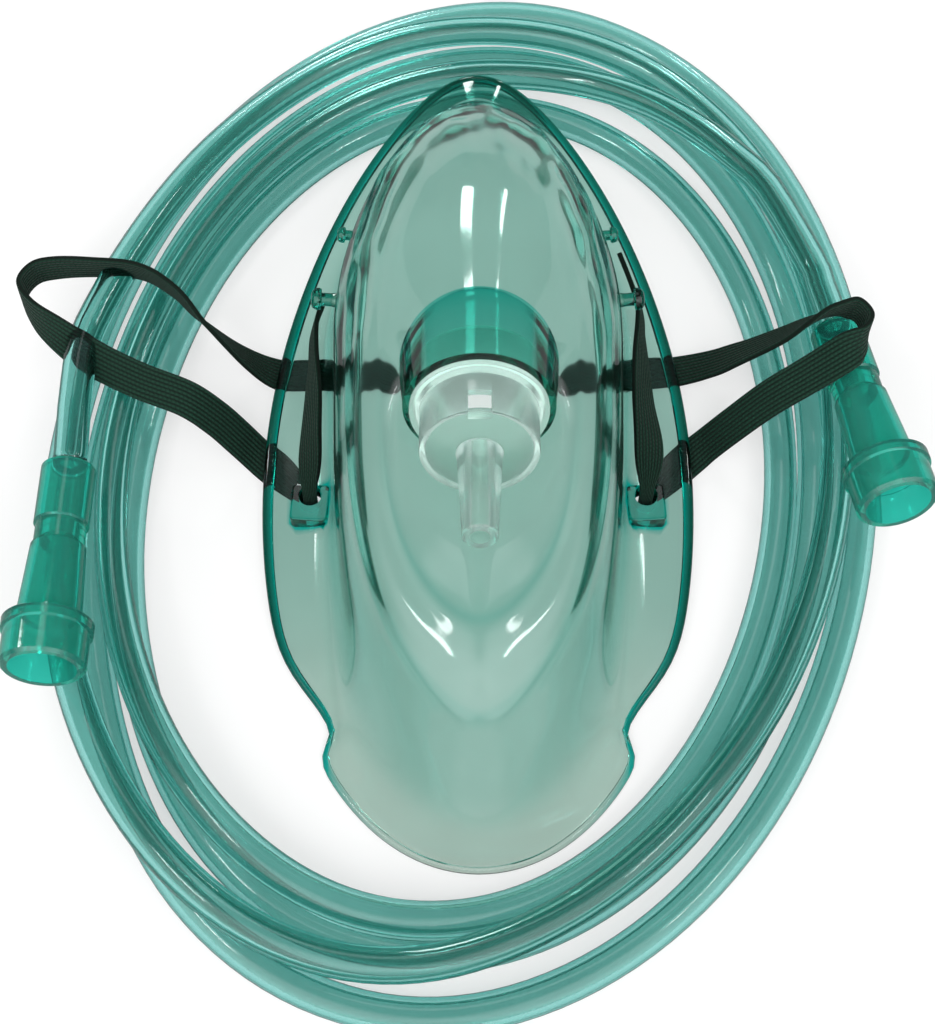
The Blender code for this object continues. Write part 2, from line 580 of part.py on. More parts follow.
def make_funnel(name, small_end, mouth, material):
    """Hollow tube connector, its own +Z from the tube socket to the open cuff."""
    neck = FUNNEL_SOCKET_DEPTH + FUNNEL_NECK_LENGTH
    cuff = FUNNEL_LENGTH - FUNNEL_CUFF_LENGTH
    flare = cuff - FUNNEL_FLARE_LENGTH
    lip = cuff + FUNNEL_LIP_LENGTH
    stop = FUNNEL_SOCKET_DEPTH + FUNNEL_STOP_THICKNESS
    bore = TUBE_RADIUS + FIT_GAP
    edge = FUNNEL_EDGE
    outside = (
        (FUNNEL_SOCKET_RADIUS - edge, 0.0), (FUNNEL_SOCKET_RADIUS, edge),
        (FUNNEL_SOCKET_RADIUS, FUNNEL_SOCKET_DEPTH), (FUNNEL_NECK_RADIUS, FUNNEL_SOCKET_DEPTH + edge),
        (FUNNEL_NECK_RADIUS, neck), (FUNNEL_SOCKET_RADIUS, neck + edge), (FUNNEL_BODY_RADIUS, flare),
        (FUNNEL_LIP_RADIUS - edge, cuff), (FUNNEL_LIP_RADIUS, cuff + edge), (FUNNEL_LIP_RADIUS, lip),
        (FUNNEL_CUFF_RADIUS, lip + edge), (FUNNEL_CUFF_RADIUS, FUNNEL_LENGTH - 2 * edge),
        (FUNNEL_CUFF_RADIUS - 2 * edge, FUNNEL_LENGTH))
    inside = (
        (FUNNEL_MOUTH_RADIUS, FUNNEL_LENGTH), (FUNNEL_MOUTH_RADIUS - edge, cuff),
        (FUNNEL_BODY_RADIUS - FUNNEL_WALL, flare), (FUNNEL_SOCKET_RADIUS - FUNNEL_WALL, neck),
        (FUNNEL_STOP_RADIUS, stop), (FUNNEL_STOP_RADIUS, FUNNEL_SOCKET_DEPTH),
        (bore, FUNNEL_SOCKET_DEPTH - edge), (bore, 0.0))
    item = add_object(name, turned_mesh(name, outside + inside), material)
    point_along(item, small_end, Vector(mouth) - Vector(small_end))
    return item


def main():
    clear_objects()
    soft_green = make_material("mask_green", (0.42, 0.70, 0.62), 0.12, 0.6)
    frosted = make_material("frosted_clear", (0.80, 0.88, 0.86), 0.35, 0.4)
    elastic = make_material("strap_green", (0.01, 0.06, 0.035), 0.85)
    tube_green = make_material("tube_green", (0.16, 0.48, 0.42), 0.15, 0.5)
    funnel_green = make_material("funnel_green", (0.03, 0.42, 0.33), 0.12, 0.5)
    pieces = [
        make_mask_shell(soft_green),
        make_port_connector(frosted),
        make_strap(elastic),
        make_coil(tube_green),
        make_tube("tube_end_left", LEFT_TUBE_ROUTE, tube_green),
        make_tube("tube_end_right", RIGHT_TUBE_ROUTE, tube_green),
        make_funnel("tube_connector_left", LEFT_FUNNEL_SMALL_END, LEFT_FUNNEL_MOUTH, funnel_green),
        make_funnel("tube_connector_right", RIGHT_FUNNEL_SMALL_END, RIGHT_FUNNEL_MOUTH, funnel_green),
    ]
    placed = np.array([v.co for item in (pieces[0], pieces[2]) for v in item.data.vertices])
    middle = (placed.min(axis=0) + placed.max(axis=0)) / 2
    shift = Vector((-middle[0], -middle[1], 0.0))
    bpy.context.view_layer.update()
    for item in pieces + [m.object for p in pieces for m in p.modifiers]:
        item.matrix_world = Matrix.Translation(shift) @ item.matrix_world


main()
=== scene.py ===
"""Looks of the oxygen face mask with its strap, port connector and coiled oxygen tube.

Metres, +Z up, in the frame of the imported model. Shapes are laid out from the mask's own middle,
and PLACE moves each of them into the frame.
"""

import math

import bmesh
import bpy
import numpy as np
from mathutils import Matrix, Vector


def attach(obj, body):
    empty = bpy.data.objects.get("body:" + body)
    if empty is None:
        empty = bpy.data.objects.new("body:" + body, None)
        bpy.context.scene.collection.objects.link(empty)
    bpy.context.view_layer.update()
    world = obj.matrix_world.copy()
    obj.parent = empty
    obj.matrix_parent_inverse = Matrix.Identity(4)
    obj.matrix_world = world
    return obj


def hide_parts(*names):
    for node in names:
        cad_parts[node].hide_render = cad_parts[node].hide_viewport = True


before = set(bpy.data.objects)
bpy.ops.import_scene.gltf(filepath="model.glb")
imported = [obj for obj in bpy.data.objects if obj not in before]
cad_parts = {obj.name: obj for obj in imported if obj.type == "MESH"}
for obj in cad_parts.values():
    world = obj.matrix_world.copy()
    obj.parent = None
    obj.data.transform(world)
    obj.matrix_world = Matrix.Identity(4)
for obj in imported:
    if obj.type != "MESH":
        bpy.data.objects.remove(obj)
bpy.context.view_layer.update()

PLACE = Vector((0.008283, -0.010569, 0.0))

# Camera
CAMERA_TARGET = Vector((-0.0020, 0.0, 0.0)) + PLACE
CAMERA_DISTANCE = 0.350
CAMERA_RISE = math.radians(63.0)
SENSOR = 36.0
LENS = 63.98
CAMERA_NEAREST = 0.01
LAMP_BRIGHTNESS = 16.0

# Mask shell
WALL = 0.0015
RIM_BEAD_RADIUS = 0.0012
CHIN_BEAD_RADIUS = 0.0009
SHELL_COLUMNS = 180
NOTCH_Y = -0.0440
NOTCH_DEPTH = 0.0045
NOTCH_REACH_UP = 0.0100
NOTCH_REACH_DOWN = 0.0045

# Rings of the shell's outer face from the rim inwards. Each is a closed egg-shaped curve, given
# by its y at nose, cheek and chin, and by half widths and heights at even steps from nose to chin.
RIM = (
    (0.0913, 0.0130, -0.0709),
    (0.0310, 0.0354, 0.0399, 0.0430, 0.0450),
    (0.0180, 0.0100, 0.0040, 0.0010, 0.0009))
FLANGE_ROOT = (
    (0.0828, 0.0130, -0.0650),
    (0.0230, 0.0255, 0.0293, 0.0313, 0.0291, 0.0297, 0.0325, 0.0325, 0.0310),
    (0.0205, 0.0135, 0.0060, 0.0068, 0.0105))
WALL_TOP = (
    (0.0795, 0.0130, -0.0580),
    (0.0215, 0.0240, 0.0268, 0.0280, 0.0265, 0.0268, 0.0268, 0.0240, 0.0220),
    (0.0250, 0.0265, 0.0240, 0.0205, 0.0190))
SHOULDER = (
    (0.0700, 0.0130, -0.0495),
    (0.0200, 0.0230, 0.0226, 0.0228, 0.0180),
    (0.0335, 0.0370, 0.0360, 0.0305, 0.0280))
CROWN = (
    (0.0450, 0.0100, -0.0370),
    (0.0150, 0.0175, 0.0175, 0.0180, 0.0150),
    (0.0485, 0.0470, 0.0410, 0.0335, 0.0333))
SHELL_RINGS = (RIM, FLANGE_ROOT, WALL_TOP, SHOULDER, CROWN)
STEPS_BETWEEN_RINGS = (7, 10, 9, 14, 14)
BEAD_SECTION = tuple(math.radians(turn) for turn in range(140, -141, -20))

# How deeply the shell is tinted: 0 is clear, 1 is green and 2 is dark green. The root's and the
# chin lines' values are painted shade where folds and steps look dark, and the rim's are partly
# painted shade on the bead. The rim's tints go at even steps from nose to chin, and its spread is
# how far they reach round the bead.
SHEET_TINT = 0.36
# Rim bead: darkened partly for its thickness and partly with painted shade
RIM_TINT_AND_SHADE = (2.3, 2.4, 2.6, 2.6, 2.3, 0.6, 0.1)
RIM_TINT_AND_SHADE_SPREAD = 0.8
COLLAR_TINT = 0.95
COLLAR_MOUTH_SHARE = 0.8
NOSE_TINT = 0.66
# Painted shade in the fold at the flange's root beside the cheeks
ROOT_PAINTED_SHADE = 0.55
JAW_TINT = 0.30
# Painted shade along the ledge and lip lines of the chin
LINE_PAINTED_SHADE = 0.22
CHIN_FLANGE_CLEARING = 0.9
TAB_TINT = 1.25
POST_TINT = 0.95
FITTING_MARGIN = 0.0002

# Small forms of the mould. Their places are counted in rings from the rim inwards.
LEDGE_PLACE = 4.0
LEDGE_HEIGHT = 0.00045
LIP_PLACE = 2.75
LIP_HEIGHT = 0.00040
RIDGE_PLACE = 1.0
RIDGE_HEIGHT = 0.00050
RIPPLE_PLACE = 2.6
RIPPLE_HEIGHT = 0.00009
RIPPLE_RATE = 42.0
DOME_PLACE = 2.95
NOSE_CALM = 0.3
ROOT_PLACE = 1.12
JAW_PLACE = 1.75

# Waves of the dome: height, and for each of two crossing sines its rate round the mask, its rate
# inwards and its shift
DOME_WAVES = (
    (0.00048, (9, 5.0, 0.0), (-5, 7.3, 1.3)),
    (0.00024, (17, -9.0, 0.7), (11, 4.1, 0.0)))

# Port collar
PORT_MOUTH = np.array((0.0, -0.0040, 0.0466))
PORT_RISE = math.radians(13.0)
PORT_OUTWARD = np.array((0.0, -math.cos(PORT_RISE), math.sin(PORT_RISE)))
PORT_UPWARD = np.array((0.0, math.sin(PORT_RISE), math.cos(PORT_RISE)))
PORT_BORE_RADIUS = 0.0110
COLLAR_MOUTH_RADIUS = 0.0130
COLLAR_ROOT_RADIUS = 0.0138
COLLAR_STEP = 0.0008
COLLAR_LENGTH_TOP = 0.0150
COLLAR_LENGTH_BOTTOM = 0.0030
COLLAR_STEPS = 6
BORE_STEPS = 5

# Ear tabs on the flange, and the mushroom posts on the cheeks
TAB_X = 0.0318
TAB_Y = -0.0012
TAB_WIDTH = 0.0072
TAB_LENGTH = 0.0076
TAB_UNDERSIDE_Z = 0.0028
TAB_TOP_Z = 0.0066
TAB_CORNER = 0.0010
TAB_TURN = math.radians(3.0)
TAB_ROUNDING = 0.0004
TAB_CORNER_SEGMENTS = 6
TAB_ROUNDING_SEGMENTS = 3
STRAP_HOLE_RADIUS = 0.0022
STRAP_HOLE_Y = 0.0002
HOLE_SEGMENTS = 40
CHEEK_POST = {
    "at": (0.0277, 0.0388, 0.0147), "reach": 0.0048, "stem": 0.0013, "head": 0.0022, "cap": 0.0020}
BROW_POST = {
    "at": (0.0240, 0.0516, 0.0181), "reach": 0.0036, "stem": 0.0010, "head": 0.0016, "cap": 0.0016}
POST_RISE = math.radians(8.0)
POST_SINK = 0.0008
POST_ROOT = 1.25
POST_CAP = (
    (0.90, 0.0), (1.0, 0.2), (0.98, 0.45), (0.85, 0.75), (0.62, 0.93), (0.3, 1.0), (0.0, 1.0))
POST_SEGMENTS = 32

# Port connector
FIT_GAP = 0.0003
PLUG_LENGTH = 0.0080
CONNECTOR_RIM_RADIUS = 0.0119
CONNECTOR_RIM_THICKNESS = 0.0012
CONNECTOR_BODY_RADIUS = 0.0101
CONNECTOR_BODY_LENGTH = 0.0089
CONNECTOR_WALL = 0.0012
CONNECTOR_EDGE = 0.0005
SPIGOT_LENGTH = 0.0178
SPIGOT_ROOT_RADIUS = 0.00385
SPIGOT_TIP_RADIUS = 0.00300
SPIGOT_BORE_RADIUS = 0.0016
WINDOW_WIDTH = 0.0038
WINDOW_LENGTH = 0.0040
WINDOW_FROM_RIM = 0.0040
TURNED_SEGMENTS = 96
MERGE_DISTANCE = 1e-7
# Depth of a rounded corner's middle below the sharp corner, as a share of the rounding
CORNER_CUT = 0.3

# Elastic strap
STRAP_WIDTH = 0.0070
STRAP_THICKNESS = 0.0010
STRAP_STEPS = 8
STRAP_CORDS = 9
STITCH_LENGTH = 0.0009
# A quarter of the strap's cross section, as shares of its half width and half thickness
STRAP_QUARTER = ((1, 0.5), (0.94, 0.9), (0.6, 1), (0, 1))

# Oxygen tube and its two end connectors
TUBE_RADIUS = 0.0032
TUBE_WALL = 0.0013
TUBE_SEGMENTS = 20
COIL_TURN = math.radians(-7.0)
COIL_OUTER_CENTRE = (-0.0021, 0.0138)
COIL_OUTER_HALF = (0.0795, 0.1125)
COIL_INNER_CENTRE = (-0.0040, 0.0065)
COIL_INNER_HALF = (0.0585, 0.0850)
COIL_STEP = 0.02
TUBE_STEPS = 3
FUNNEL_LENGTH = 0.0407
FUNNEL_SOCKET_RADIUS = 0.0050
FUNNEL_NECK_RADIUS = 0.0046
FUNNEL_BODY_RADIUS = 0.0058
FUNNEL_CUFF_RADIUS = 0.0076
FUNNEL_LIP_RADIUS = 0.0081
FUNNEL_SOCKET_DEPTH = 0.0120
FUNNEL_NECK_LENGTH = 0.0045
FUNNEL_CUFF_LENGTH = 0.0090
FUNNEL_MOUTH_RADIUS = 0.0060
FUNNEL_STOP_RADIUS = 0.0021
FUNNEL_STOP_THICKNESS = 0.0030
FUNNEL_FLARE_LENGTH = 0.0012
FUNNEL_LIP_LENGTH = 0.0021
FUNNEL_WALL = 0.0014
FUNNEL_EDGE = 0.0003
LEFT_FUNNEL_SMALL_END = (-0.0754, 0.0003, 0.0168)
LEFT_FUNNEL_MOUTH = (-0.0755, -0.0405, 0.0195)
RIGHT_FUNNEL_SMALL_END = (0.0686, 0.0303, 0.0168)
RIGHT_FUNNEL_MOUTH = (0.0755, -0.0105, 0.0218)

# Lie of the tube: turns counted from the left funnel, share of the way from the coil's inner to
# its outer edge, and height in millimetres
TUBE_STOPS = (
    (0.012, 0.79, 14.5), (0.035, 0.745, 13.6), (0.06, 0.71, 12.3), (0.09, 0.69, 11.0),
    (0.13, 0.67, 9.4), (0.19, 0.64, 8.7), (0.25, 0.61, 8.6), (0.33, 0.63, 8.6), (0.42, 0.64, 8.6),
    (0.5, 0.60, 8.5), (0.56, 0.50, 8.6), (0.625, 0.38, 8.6), (0.69, 0.40, 8.7), (0.75, 0.55, 8.9),
    (0.80, 0.66, 9.2), (0.85, 0.75, 9.4), (0.90, 0.82, 9.0), (0.95, 0.86, 6.2), (0.98, 0.86, 4.6),
    (1.01, 0.86, 3.6), (1.05, 0.855, 3.25), (1.1, 0.85, 3.2), (1.17, 0.85, 3.2), (1.25, 0.87, 3.2),
    (1.33, 0.87, 3.2), (1.42, 0.85, 3.2), (1.5, 0.85, 3.2), (1.58, 0.86, 3.2), (1.67, 0.88, 3.2),
    (1.75, 0.885, 3.2), (1.83, 0.80, 3.2), (1.92, 0.58, 3.2), (2.0, 0.50, 3.2), (2.08, 0.50, 3.2),
    (2.17, 0.50, 3.2), (2.25, 0.50, 3.2), (2.33, 0.49, 3.2), (2.42, 0.46, 3.2), (2.5, 0.44, 3.2),
    (2.58, 0.44, 3.2), (2.67, 0.40, 3.2), (2.75, 0.37, 3.2), (2.83, 0.31, 3.2), (2.92, 0.20, 3.2),
    (3.0, 0.155, 3.2), (3.08, 0.15, 3.2), (3.17, 0.14, 3.2), (3.25, 0.12, 3.2), (3.33, 0.13, 3.2),
    (3.42, 0.15, 3.2), (3.5, 0.155, 3.2), (3.58, 0.14, 3.2), (3.67, 0.12, 3.4), (3.75, 0.115, 6.4),
    (3.83, 0.14, 8.6), (3.92, 0.25, 9.5), (4.0, 0.33, 8.7), (4.08, 0.31, 8.5), (4.17, 0.27, 8.5),
    (4.25, 0.26, 9.2), (4.29, 0.28, 11.2), (4.33, 0.34, 13.6), (4.37, 0.44, 14.9),
    (4.40, 0.55, 15.1))
# Ends of the tube, from each funnel to where the coil takes over
LEFT_TUBE_ROUTE = (
    (-0.0754, 0.0006, 0.0168), (-0.0756, 0.0062, 0.0163), (-0.0760, 0.0120, 0.0153),
    (-0.0762, 0.0170, 0.0149))
RIGHT_TUBE_ROUTE = (
    (0.0685, 0.0306, 0.0168), (0.0678, 0.0360, 0.0160), (0.0668, 0.0420, 0.0152),
    (0.0655, 0.0480, 0.0149))

# Route of the strap from its left end to its right end: place, direction of its width, width
# and thickness as shares of the flat strap's
STRAP_ROUTE = (
    ((-0.0306, 0.0407, 0.0105), (0.20, 0.0, 1.0), 0.74, 1.0),
    ((-0.0314, 0.0384, 0.0099), (0.20, 0.0, 1.0), 0.70, 1.0),
    ((-0.0321, 0.0344, 0.0098), (0.25, 0.0, 1.0), 0.86, 1.0),
    ((-0.0320, 0.0279, 0.0095), (0.30, 0.0, 1.0), 0.95, 1.0),
    ((-0.0318, 0.0201, 0.0091), (0.60, 0.0, 1.0), 0.90, 1.0),
    ((-0.0319, 0.0114, 0.0090), (0.80, 0.0, 0.9), 0.85, 1.1),
    ((-0.0318, 0.0052, 0.0091), (1.0, 0.0, 0.5), 0.65, 1.3),
    ((-0.0318, 0.0014, 0.0083), (1.0, 0.0, 0.2), 0.42, 1.6),
    ((-0.0318, 0.0002, 0.0062), (1.0, 0.1, 0.0), 0.38, 1.6),
    ((-0.0318, 0.0002, 0.0038), (1.0, 0.2, 0.0), 0.38, 1.6),
    ((-0.0320, 0.0006, 0.0021), (0.9, 0.4, 0.0), 0.40, 1.4),
    ((-0.0331, 0.0022, 0.0009), (0.8, 0.6, 0.0), 0.55, 1.1),
    ((-0.0354, 0.0049, 0.0007), (0.7, 0.7, 0.0), 0.80, 1.0),
    ((-0.0390, 0.0085, 0.0007), (0.6, 0.8, 0.0), 1.0, 1.0),
    ((-0.0429, 0.0118, 0.0013), (0.5, 0.9, 0.0), 1.0, 1.0),
    ((-0.0464, 0.0139, 0.0046), (0.5, 0.9, 0.1), 1.0, 1.0),
    ((-0.0502, 0.0155, 0.0092), (0.4, 0.9, 0.2), 1.0, 1.0),
    ((-0.0555, 0.0173, 0.0135), (0.3, 0.9, 0.30), 1.0, 1.0),
    ((-0.0644, 0.0207, 0.0144), (0.3, 0.9, 0.40), 1.0, 1.0),
    ((-0.0738, 0.0257, 0.0146), (0.4, 0.8, 0.50), 1.0, 1.0),
    ((-0.0814, 0.0312, 0.0150), (0.3, 0.5, 0.80), 1.0, 1.0),
    ((-0.0863, 0.0358, 0.0152), (0.1, 0.2, 1.0), 1.0, 1.0),
    ((-0.0889, 0.0407, 0.0152), (0.0, 0.0, 1.0), 1.0, 1.0),
    ((-0.0870, 0.0447, 0.0152), (0.0, 0.0, 1.0), 1.0, 1.0),
    ((-0.0828, 0.0460, 0.0153), (0.0, 0.0, 1.0), 1.0, 1.0),
    ((-0.0755, 0.0461, 0.0154), (0.0, -0.1, 1.0), 1.0, 1.0),
    ((-0.0662, 0.0450, 0.0156), (0.1, -0.2, 1.0), 1.0, 1.0),
    ((-0.0590, 0.0404, 0.0154), (0.3, -0.4, 0.9), 1.0, 1.0),
    ((-0.0534, 0.0351, 0.0126), (0.4, -0.7, 0.6), 1.0, 1.0),
    ((-0.0466, 0.0318, 0.0060), (0.3, -0.9, 0.3), 1.0, 1.0),
    ((-0.0400, 0.0301, 0.0014), (0.1, -1.0, 0.0), 1.0, 1.0),
    ((-0.0334, 0.0299, 0.0007), (0.0, -1.0, 0.0), 1.0, 1.0),
    ((-0.0234, 0.0304, 0.0007), (0.0, -1.0, 0.0), 1.0, 1.0),
    ((-0.0015, 0.0308, 0.0007), (0.0, -1.0, 0.0), 1.0, 1.0),
    ((0.0224, 0.0300, 0.0007), (0.0, -1.0, 0.0), 1.0, 1.0),
    ((0.0344, 0.0304, 0.0007), (0.0, -1.0, 0.0), 1.0, 1.0),
    ((0.0408, 0.0308, 0.0016), (0.0, -1.0, 0.1), 1.0, 1.0),
    ((0.0463, 0.0302, 0.0052), (0.0, -1.0, 0.3), 1.0, 1.0),
    ((0.0510, 0.0292, 0.0105), (0.0, -0.9, 0.5), 1.0, 1.0),
    ((0.0580, 0.0288, 0.0175), (0.0, -0.8, 0.7), 1.0, 1.0),
    ((0.0636, 0.0285, 0.0240), (0.0, -0.5, 0.9), 1.0, 1.0),
    ((0.0672, 0.0284, 0.0270), (0.0, -0.2, 1.0), 1.0, 1.0),
    ((0.0702, 0.0285, 0.0274), (0.0, 0.0, 1.0), 1.0, 1.0),
    ((0.0720, 0.0257, 0.0274), (0.1, 0.0, 1.0), 1.0, 1.0),
    ((0.0712, 0.0222, 0.0273), (0.0, 0.4, 0.9), 1.0, 1.0),
    ((0.0680, 0.0198, 0.0264), (-0.1, 0.7, 0.6), 1.0, 1.0),
    ((0.0623, 0.0182, 0.0214), (-0.2, 0.9, 0.4), 1.0, 1.0),
    ((0.0550, 0.0164, 0.0150), (-0.2, 0.9, 0.3), 1.0, 1.0),
    ((0.0488, 0.0147, 0.0078), (-0.3, 0.9, 0.1), 1.0, 1.0),
    ((0.0443, 0.0134, 0.0021), (-0.4, 0.9, 0.0), 1.0, 1.0),
    ((0.0410, 0.0110, 0.0008), (-0.6, 0.8, 0.0), 1.0, 1.0),
    ((0.0377, 0.0078, 0.0007), (-0.7, 0.7, 0.0), 0.95, 1.0),
    ((0.0347, 0.0044, 0.0007), (-0.8, 0.6, 0.0), 0.75, 1.0),
    ((0.0327, 0.0018, 0.0010), (-0.8, 0.5, 0.0), 0.50, 1.1),
    ((0.0319, 0.0005, 0.0022), (-0.9, 0.3, 0.0), 0.40, 1.4),
    ((0.0318, 0.0002, 0.0040), (-1.0, 0.2, 0.0), 0.38, 1.6),
    ((0.0318, 0.0002, 0.0062), (-1.0, 0.1, 0.0), 0.38, 1.6),
    ((0.0319, 0.0014, 0.0083), (-1.0, 0.0, 0.1), 0.42, 1.6),
    ((0.0323, 0.0054, 0.0091), (-1.0, 0.0, 0.3), 0.75, 1.2),
    ((0.0325, 0.0114, 0.0090), (-0.9, 0.0, 0.6), 0.95, 1.0),
    ((0.0319, 0.0201, 0.0091), (-0.7, 0.0, 0.9), 1.0, 1.0),
    ((0.0318, 0.0288, 0.0096), (-0.5, 0.0, 1.0), 1.0, 1.0),
    ((0.0319, 0.0350, 0.0100), (-0.3, 0.0, 1.0), 0.86, 1.0),
    ((0.0320, 0.0386, 0.0099), (-0.3, 0.0, 1.0), 0.72, 1.0),
    ((0.0313, 0.0422, 0.0107), (-0.3, 0.0, 1.0), 0.80, 1.0),
    ((0.0299, 0.0466, 0.0116), (-0.3, 0.0, 1.0), 0.75, 1.0),
    ((0.0283, 0.0508, 0.0128), (-0.3, 0.0, 1.0), 0.50, 1.0),
)

# Faces that meet at more than this show a sharp edge
SHARP_ANGLE = math.radians(35.0)

# Floor: its colour, and what is added to it where the camera sees it
FLOOR_SIZE = 1.5
FLOOR_DROP = 0.0001
FLOOR_GREY = (0.42, 0.42, 0.42)
FLOOR_SEEN = (0.6, 0.6, 0.6)
DARK = (0.0, 0.0, 0.0)

# Soft light of the studio: its strength all round, and what patches of it add, with the direction
# each lies in and the degrees from there to where it starts to fade and to where it ends
SOFT_LIGHT = 0.16
LIGHT_PATCHES = (
    ((0.0, 0.88, 0.47), 14, 40, -0.12),
    ((0.0, 0.49, 0.87), 3, 11, 1.6),
    ((0.0, -0.985, 0.17), 18, 55, 0.8),
    ((-0.50, -0.56, 0.66), 14, 40, 2.2),
    ((0.50, -0.56, 0.66), 14, 40, 2.2))

# Long lamps a metre away: name, both ends and width. An end is given in degrees round from the
# nose end towards the right cheek, and in degrees up.
LAMPS = (
    ("near_left_lamp", (-100, 58), (-125, 48), 0.05),
    ("near_right_lamp", (100, 56), (125, 48), 0.04),
    ("far_left_lamp", (-8, 22), (-12.5, 32.5), 0.16),
    ("far_right_lamp", (20.5, 18), (22, 29.5), 0.035),
    ("side_left_lamp", (-64, 26), (-60, 42), 0.03),
    ("side_right_lamp", (63, 28), (60, 46), 0.03))


# Materials

class Value:
    """A number in a material's nodes. Its operators add Math nodes."""

    def __init__(self, finish, socket):
        self.finish = finish
        self.socket = socket

    def calculate(self, operation, *values):
        return self.finish.node("ShaderNodeMath", {"operation": operation}, dict(enumerate(values)))

    def __add__(self, other):
        return self.calculate("ADD", self, other)

    def __sub__(self, other):
        return self.calculate("SUBTRACT", self, other)

    def __rsub__(self, other):
        return self.calculate("SUBTRACT", other, self)

    def __mul__(self, other):
        return self.calculate("MULTIPLY", self, other)

    def __abs__(self):
        return self.calculate("ABSOLUTE", self)

    def wave(self):
        return self.calculate("SINE", self)

    def largest(self, other):
        return self.calculate("MAXIMUM", self, other)

    __radd__ = __add__
    __rmul__ = __mul__


class Nodes:
    """The nodes of a material or of the world."""

    def __init__(self, tree):
        self.tree = tree

    def set(self, node, label, value):
        socket = node.inputs[label]
        if isinstance(value, Value):
            self.tree.links.new(value.socket, socket)
        elif isinstance(value, tuple) and len(value) == 3 and len(socket.default_value) == 4:
            socket.default_value = (*value, 1.0)
        else:
            socket.default_value = value

    def node(self, kind, settings=None, inputs=None, output=0):
        made = self.tree.nodes.new(kind)
        for label, value in (settings or {}).items():
            setattr(made, label, value)
        for label, value in (inputs or {}).items():
            self.set(made, label, value)
        return Value(self, made.outputs[output])

    def blend(self, share, first, second):
        """Mix of two colours. The Mix node has its colours at inputs 6 and 7 and at output 2."""
        return self.node("ShaderNodeMix", {"data_type": "RGBA"}, {0: share, 6: first, 7: second},
                         output=2)


class Finish(Nodes):
    """A material with its own nodes and one shader."""

    def __init__(self, name, **constants):
        self.material = bpy.data.materials.new(name)
        self.material.use_nodes = True
        super().__init__(self.material.node_tree)
        self.shader = self.tree.nodes["Principled BSDF"]
        for label, value in constants.items():
            self.set(self.shader, label.replace("_", " "), value)

    def noise(self, scale, detail=2.0):
        """Noise that stays on the piece, with its scale to the metre."""
        place = self.node("ShaderNodeTexCoord", output="Object")
        return self.node("ShaderNodeTexNoise", inputs={
            "Vector": place, "Scale": scale, "Detail": detail})

    def surface(self, label, value):
        self.set(self.shader, label, value)

    def relief(self, height, distance, strength):
        self.surface("Normal", self.node("ShaderNodeBump", inputs={
            "Height": height, "Distance": distance, "Strength": strength}))

    def absorb(self, colour, density):
        inside = self.node("ShaderNodeVolumeAbsorption", inputs={
            "Color": colour, "Density": density})
        output = self.tree.nodes["Material Output"]
        self.tree.links.new(inside.socket, output.inputs["Volume"])


def mask_finish():
    """Clear soft sheet with the faint waves of its mould, tinted green and painted with shade."""
    finish = Finish("mask_pvc", IOR=1.5, Transmission_Weight=1.0)
    waves = finish.noise(90.0, detail=1.0)
    # Its attribute holds the green tint and the painted shade of the flange root, rim bead and chin
    # lines
    tint = finish.node("ShaderNodeAttribute", {"attribute_name": "tint"}, output="Fac")
    clear = finish.blend(waves, (0.87, 0.76, 0.71), (0.95, 0.84, 0.79))
    green = finish.blend(tint, clear, (0.0, 0.44, 0.38))
    finish.surface("Base Color", finish.blend(tint - 1.0, green, (0.0, 0.11, 0.08)))
    finish.surface("Roughness", 0.04 + finish.noise(260.0) * 0.05)
    finish.relief(waves, 0.0002, 0.2)
    finish.absorb((0.0, 0.73, 0.64), 300.0)
    return finish.material


def connector_finish():
    """Frosted clear plastic.

    Its plug has a painted glow, standing in for light that reaches it through the clear collar.
    """
    finish = Finish("connector_plastic", IOR=1.45, Transmission_Weight=0.86, Emission_Strength=1.0)
    cloud = finish.noise(220.0, detail=4.0)
    plug = finish.node("ShaderNodeAttribute", {"attribute_name": "plug"}, output="Fac")
    finish.surface("Base Color", finish.blend(cloud, (0.64, 0.83, 0.77), (0.72, 0.89, 0.84)))
    # Painted glow: the plug emits faintly in place of light coming through the collar
    finish.surface("Emission Color", finish.blend(plug, DARK, (0.34, 0.38, 0.36)))
    finish.surface("Roughness", 0.16 + cloud * 0.08)
    finish.relief(finish.noise(3000.0), 0.00002, 0.15)
    return finish.material


def tube_finish():
    """Clear soft tube, tinted teal."""
    finish = Finish("tube_pvc", IOR=1.5, Transmission_Weight=1.0)
    cloud = finish.noise(60.0)
    finish.surface("Base Color", finish.blend(cloud, (0.41, 0.65, 0.615), (0.50, 0.73, 0.695)))
    finish.surface("Roughness", 0.04 + cloud * 0.04)
    finish.relief(cloud, 0.0003, 0.2)
    finish.absorb((0.0, 0.84, 0.80), 160.0)
    return finish.material


def funnel_finish():
    """Clear firm plastic, tinted deep green."""
    finish = Finish("funnel_pvc", IOR=1.5, Transmission_Weight=0.82)
    cloud = finish.noise(150.0)
    finish.surface("Base Color", finish.blend(cloud, (0.05, 0.56, 0.46), (0.09, 0.64, 0.54)))
    finish.surface("Roughness", 0.04 + cloud * 0.05)
    finish.relief(cloud, 0.0003, 0.2)
    finish.absorb((0.0, 0.90, 0.85), 450.0)
    return finish.material


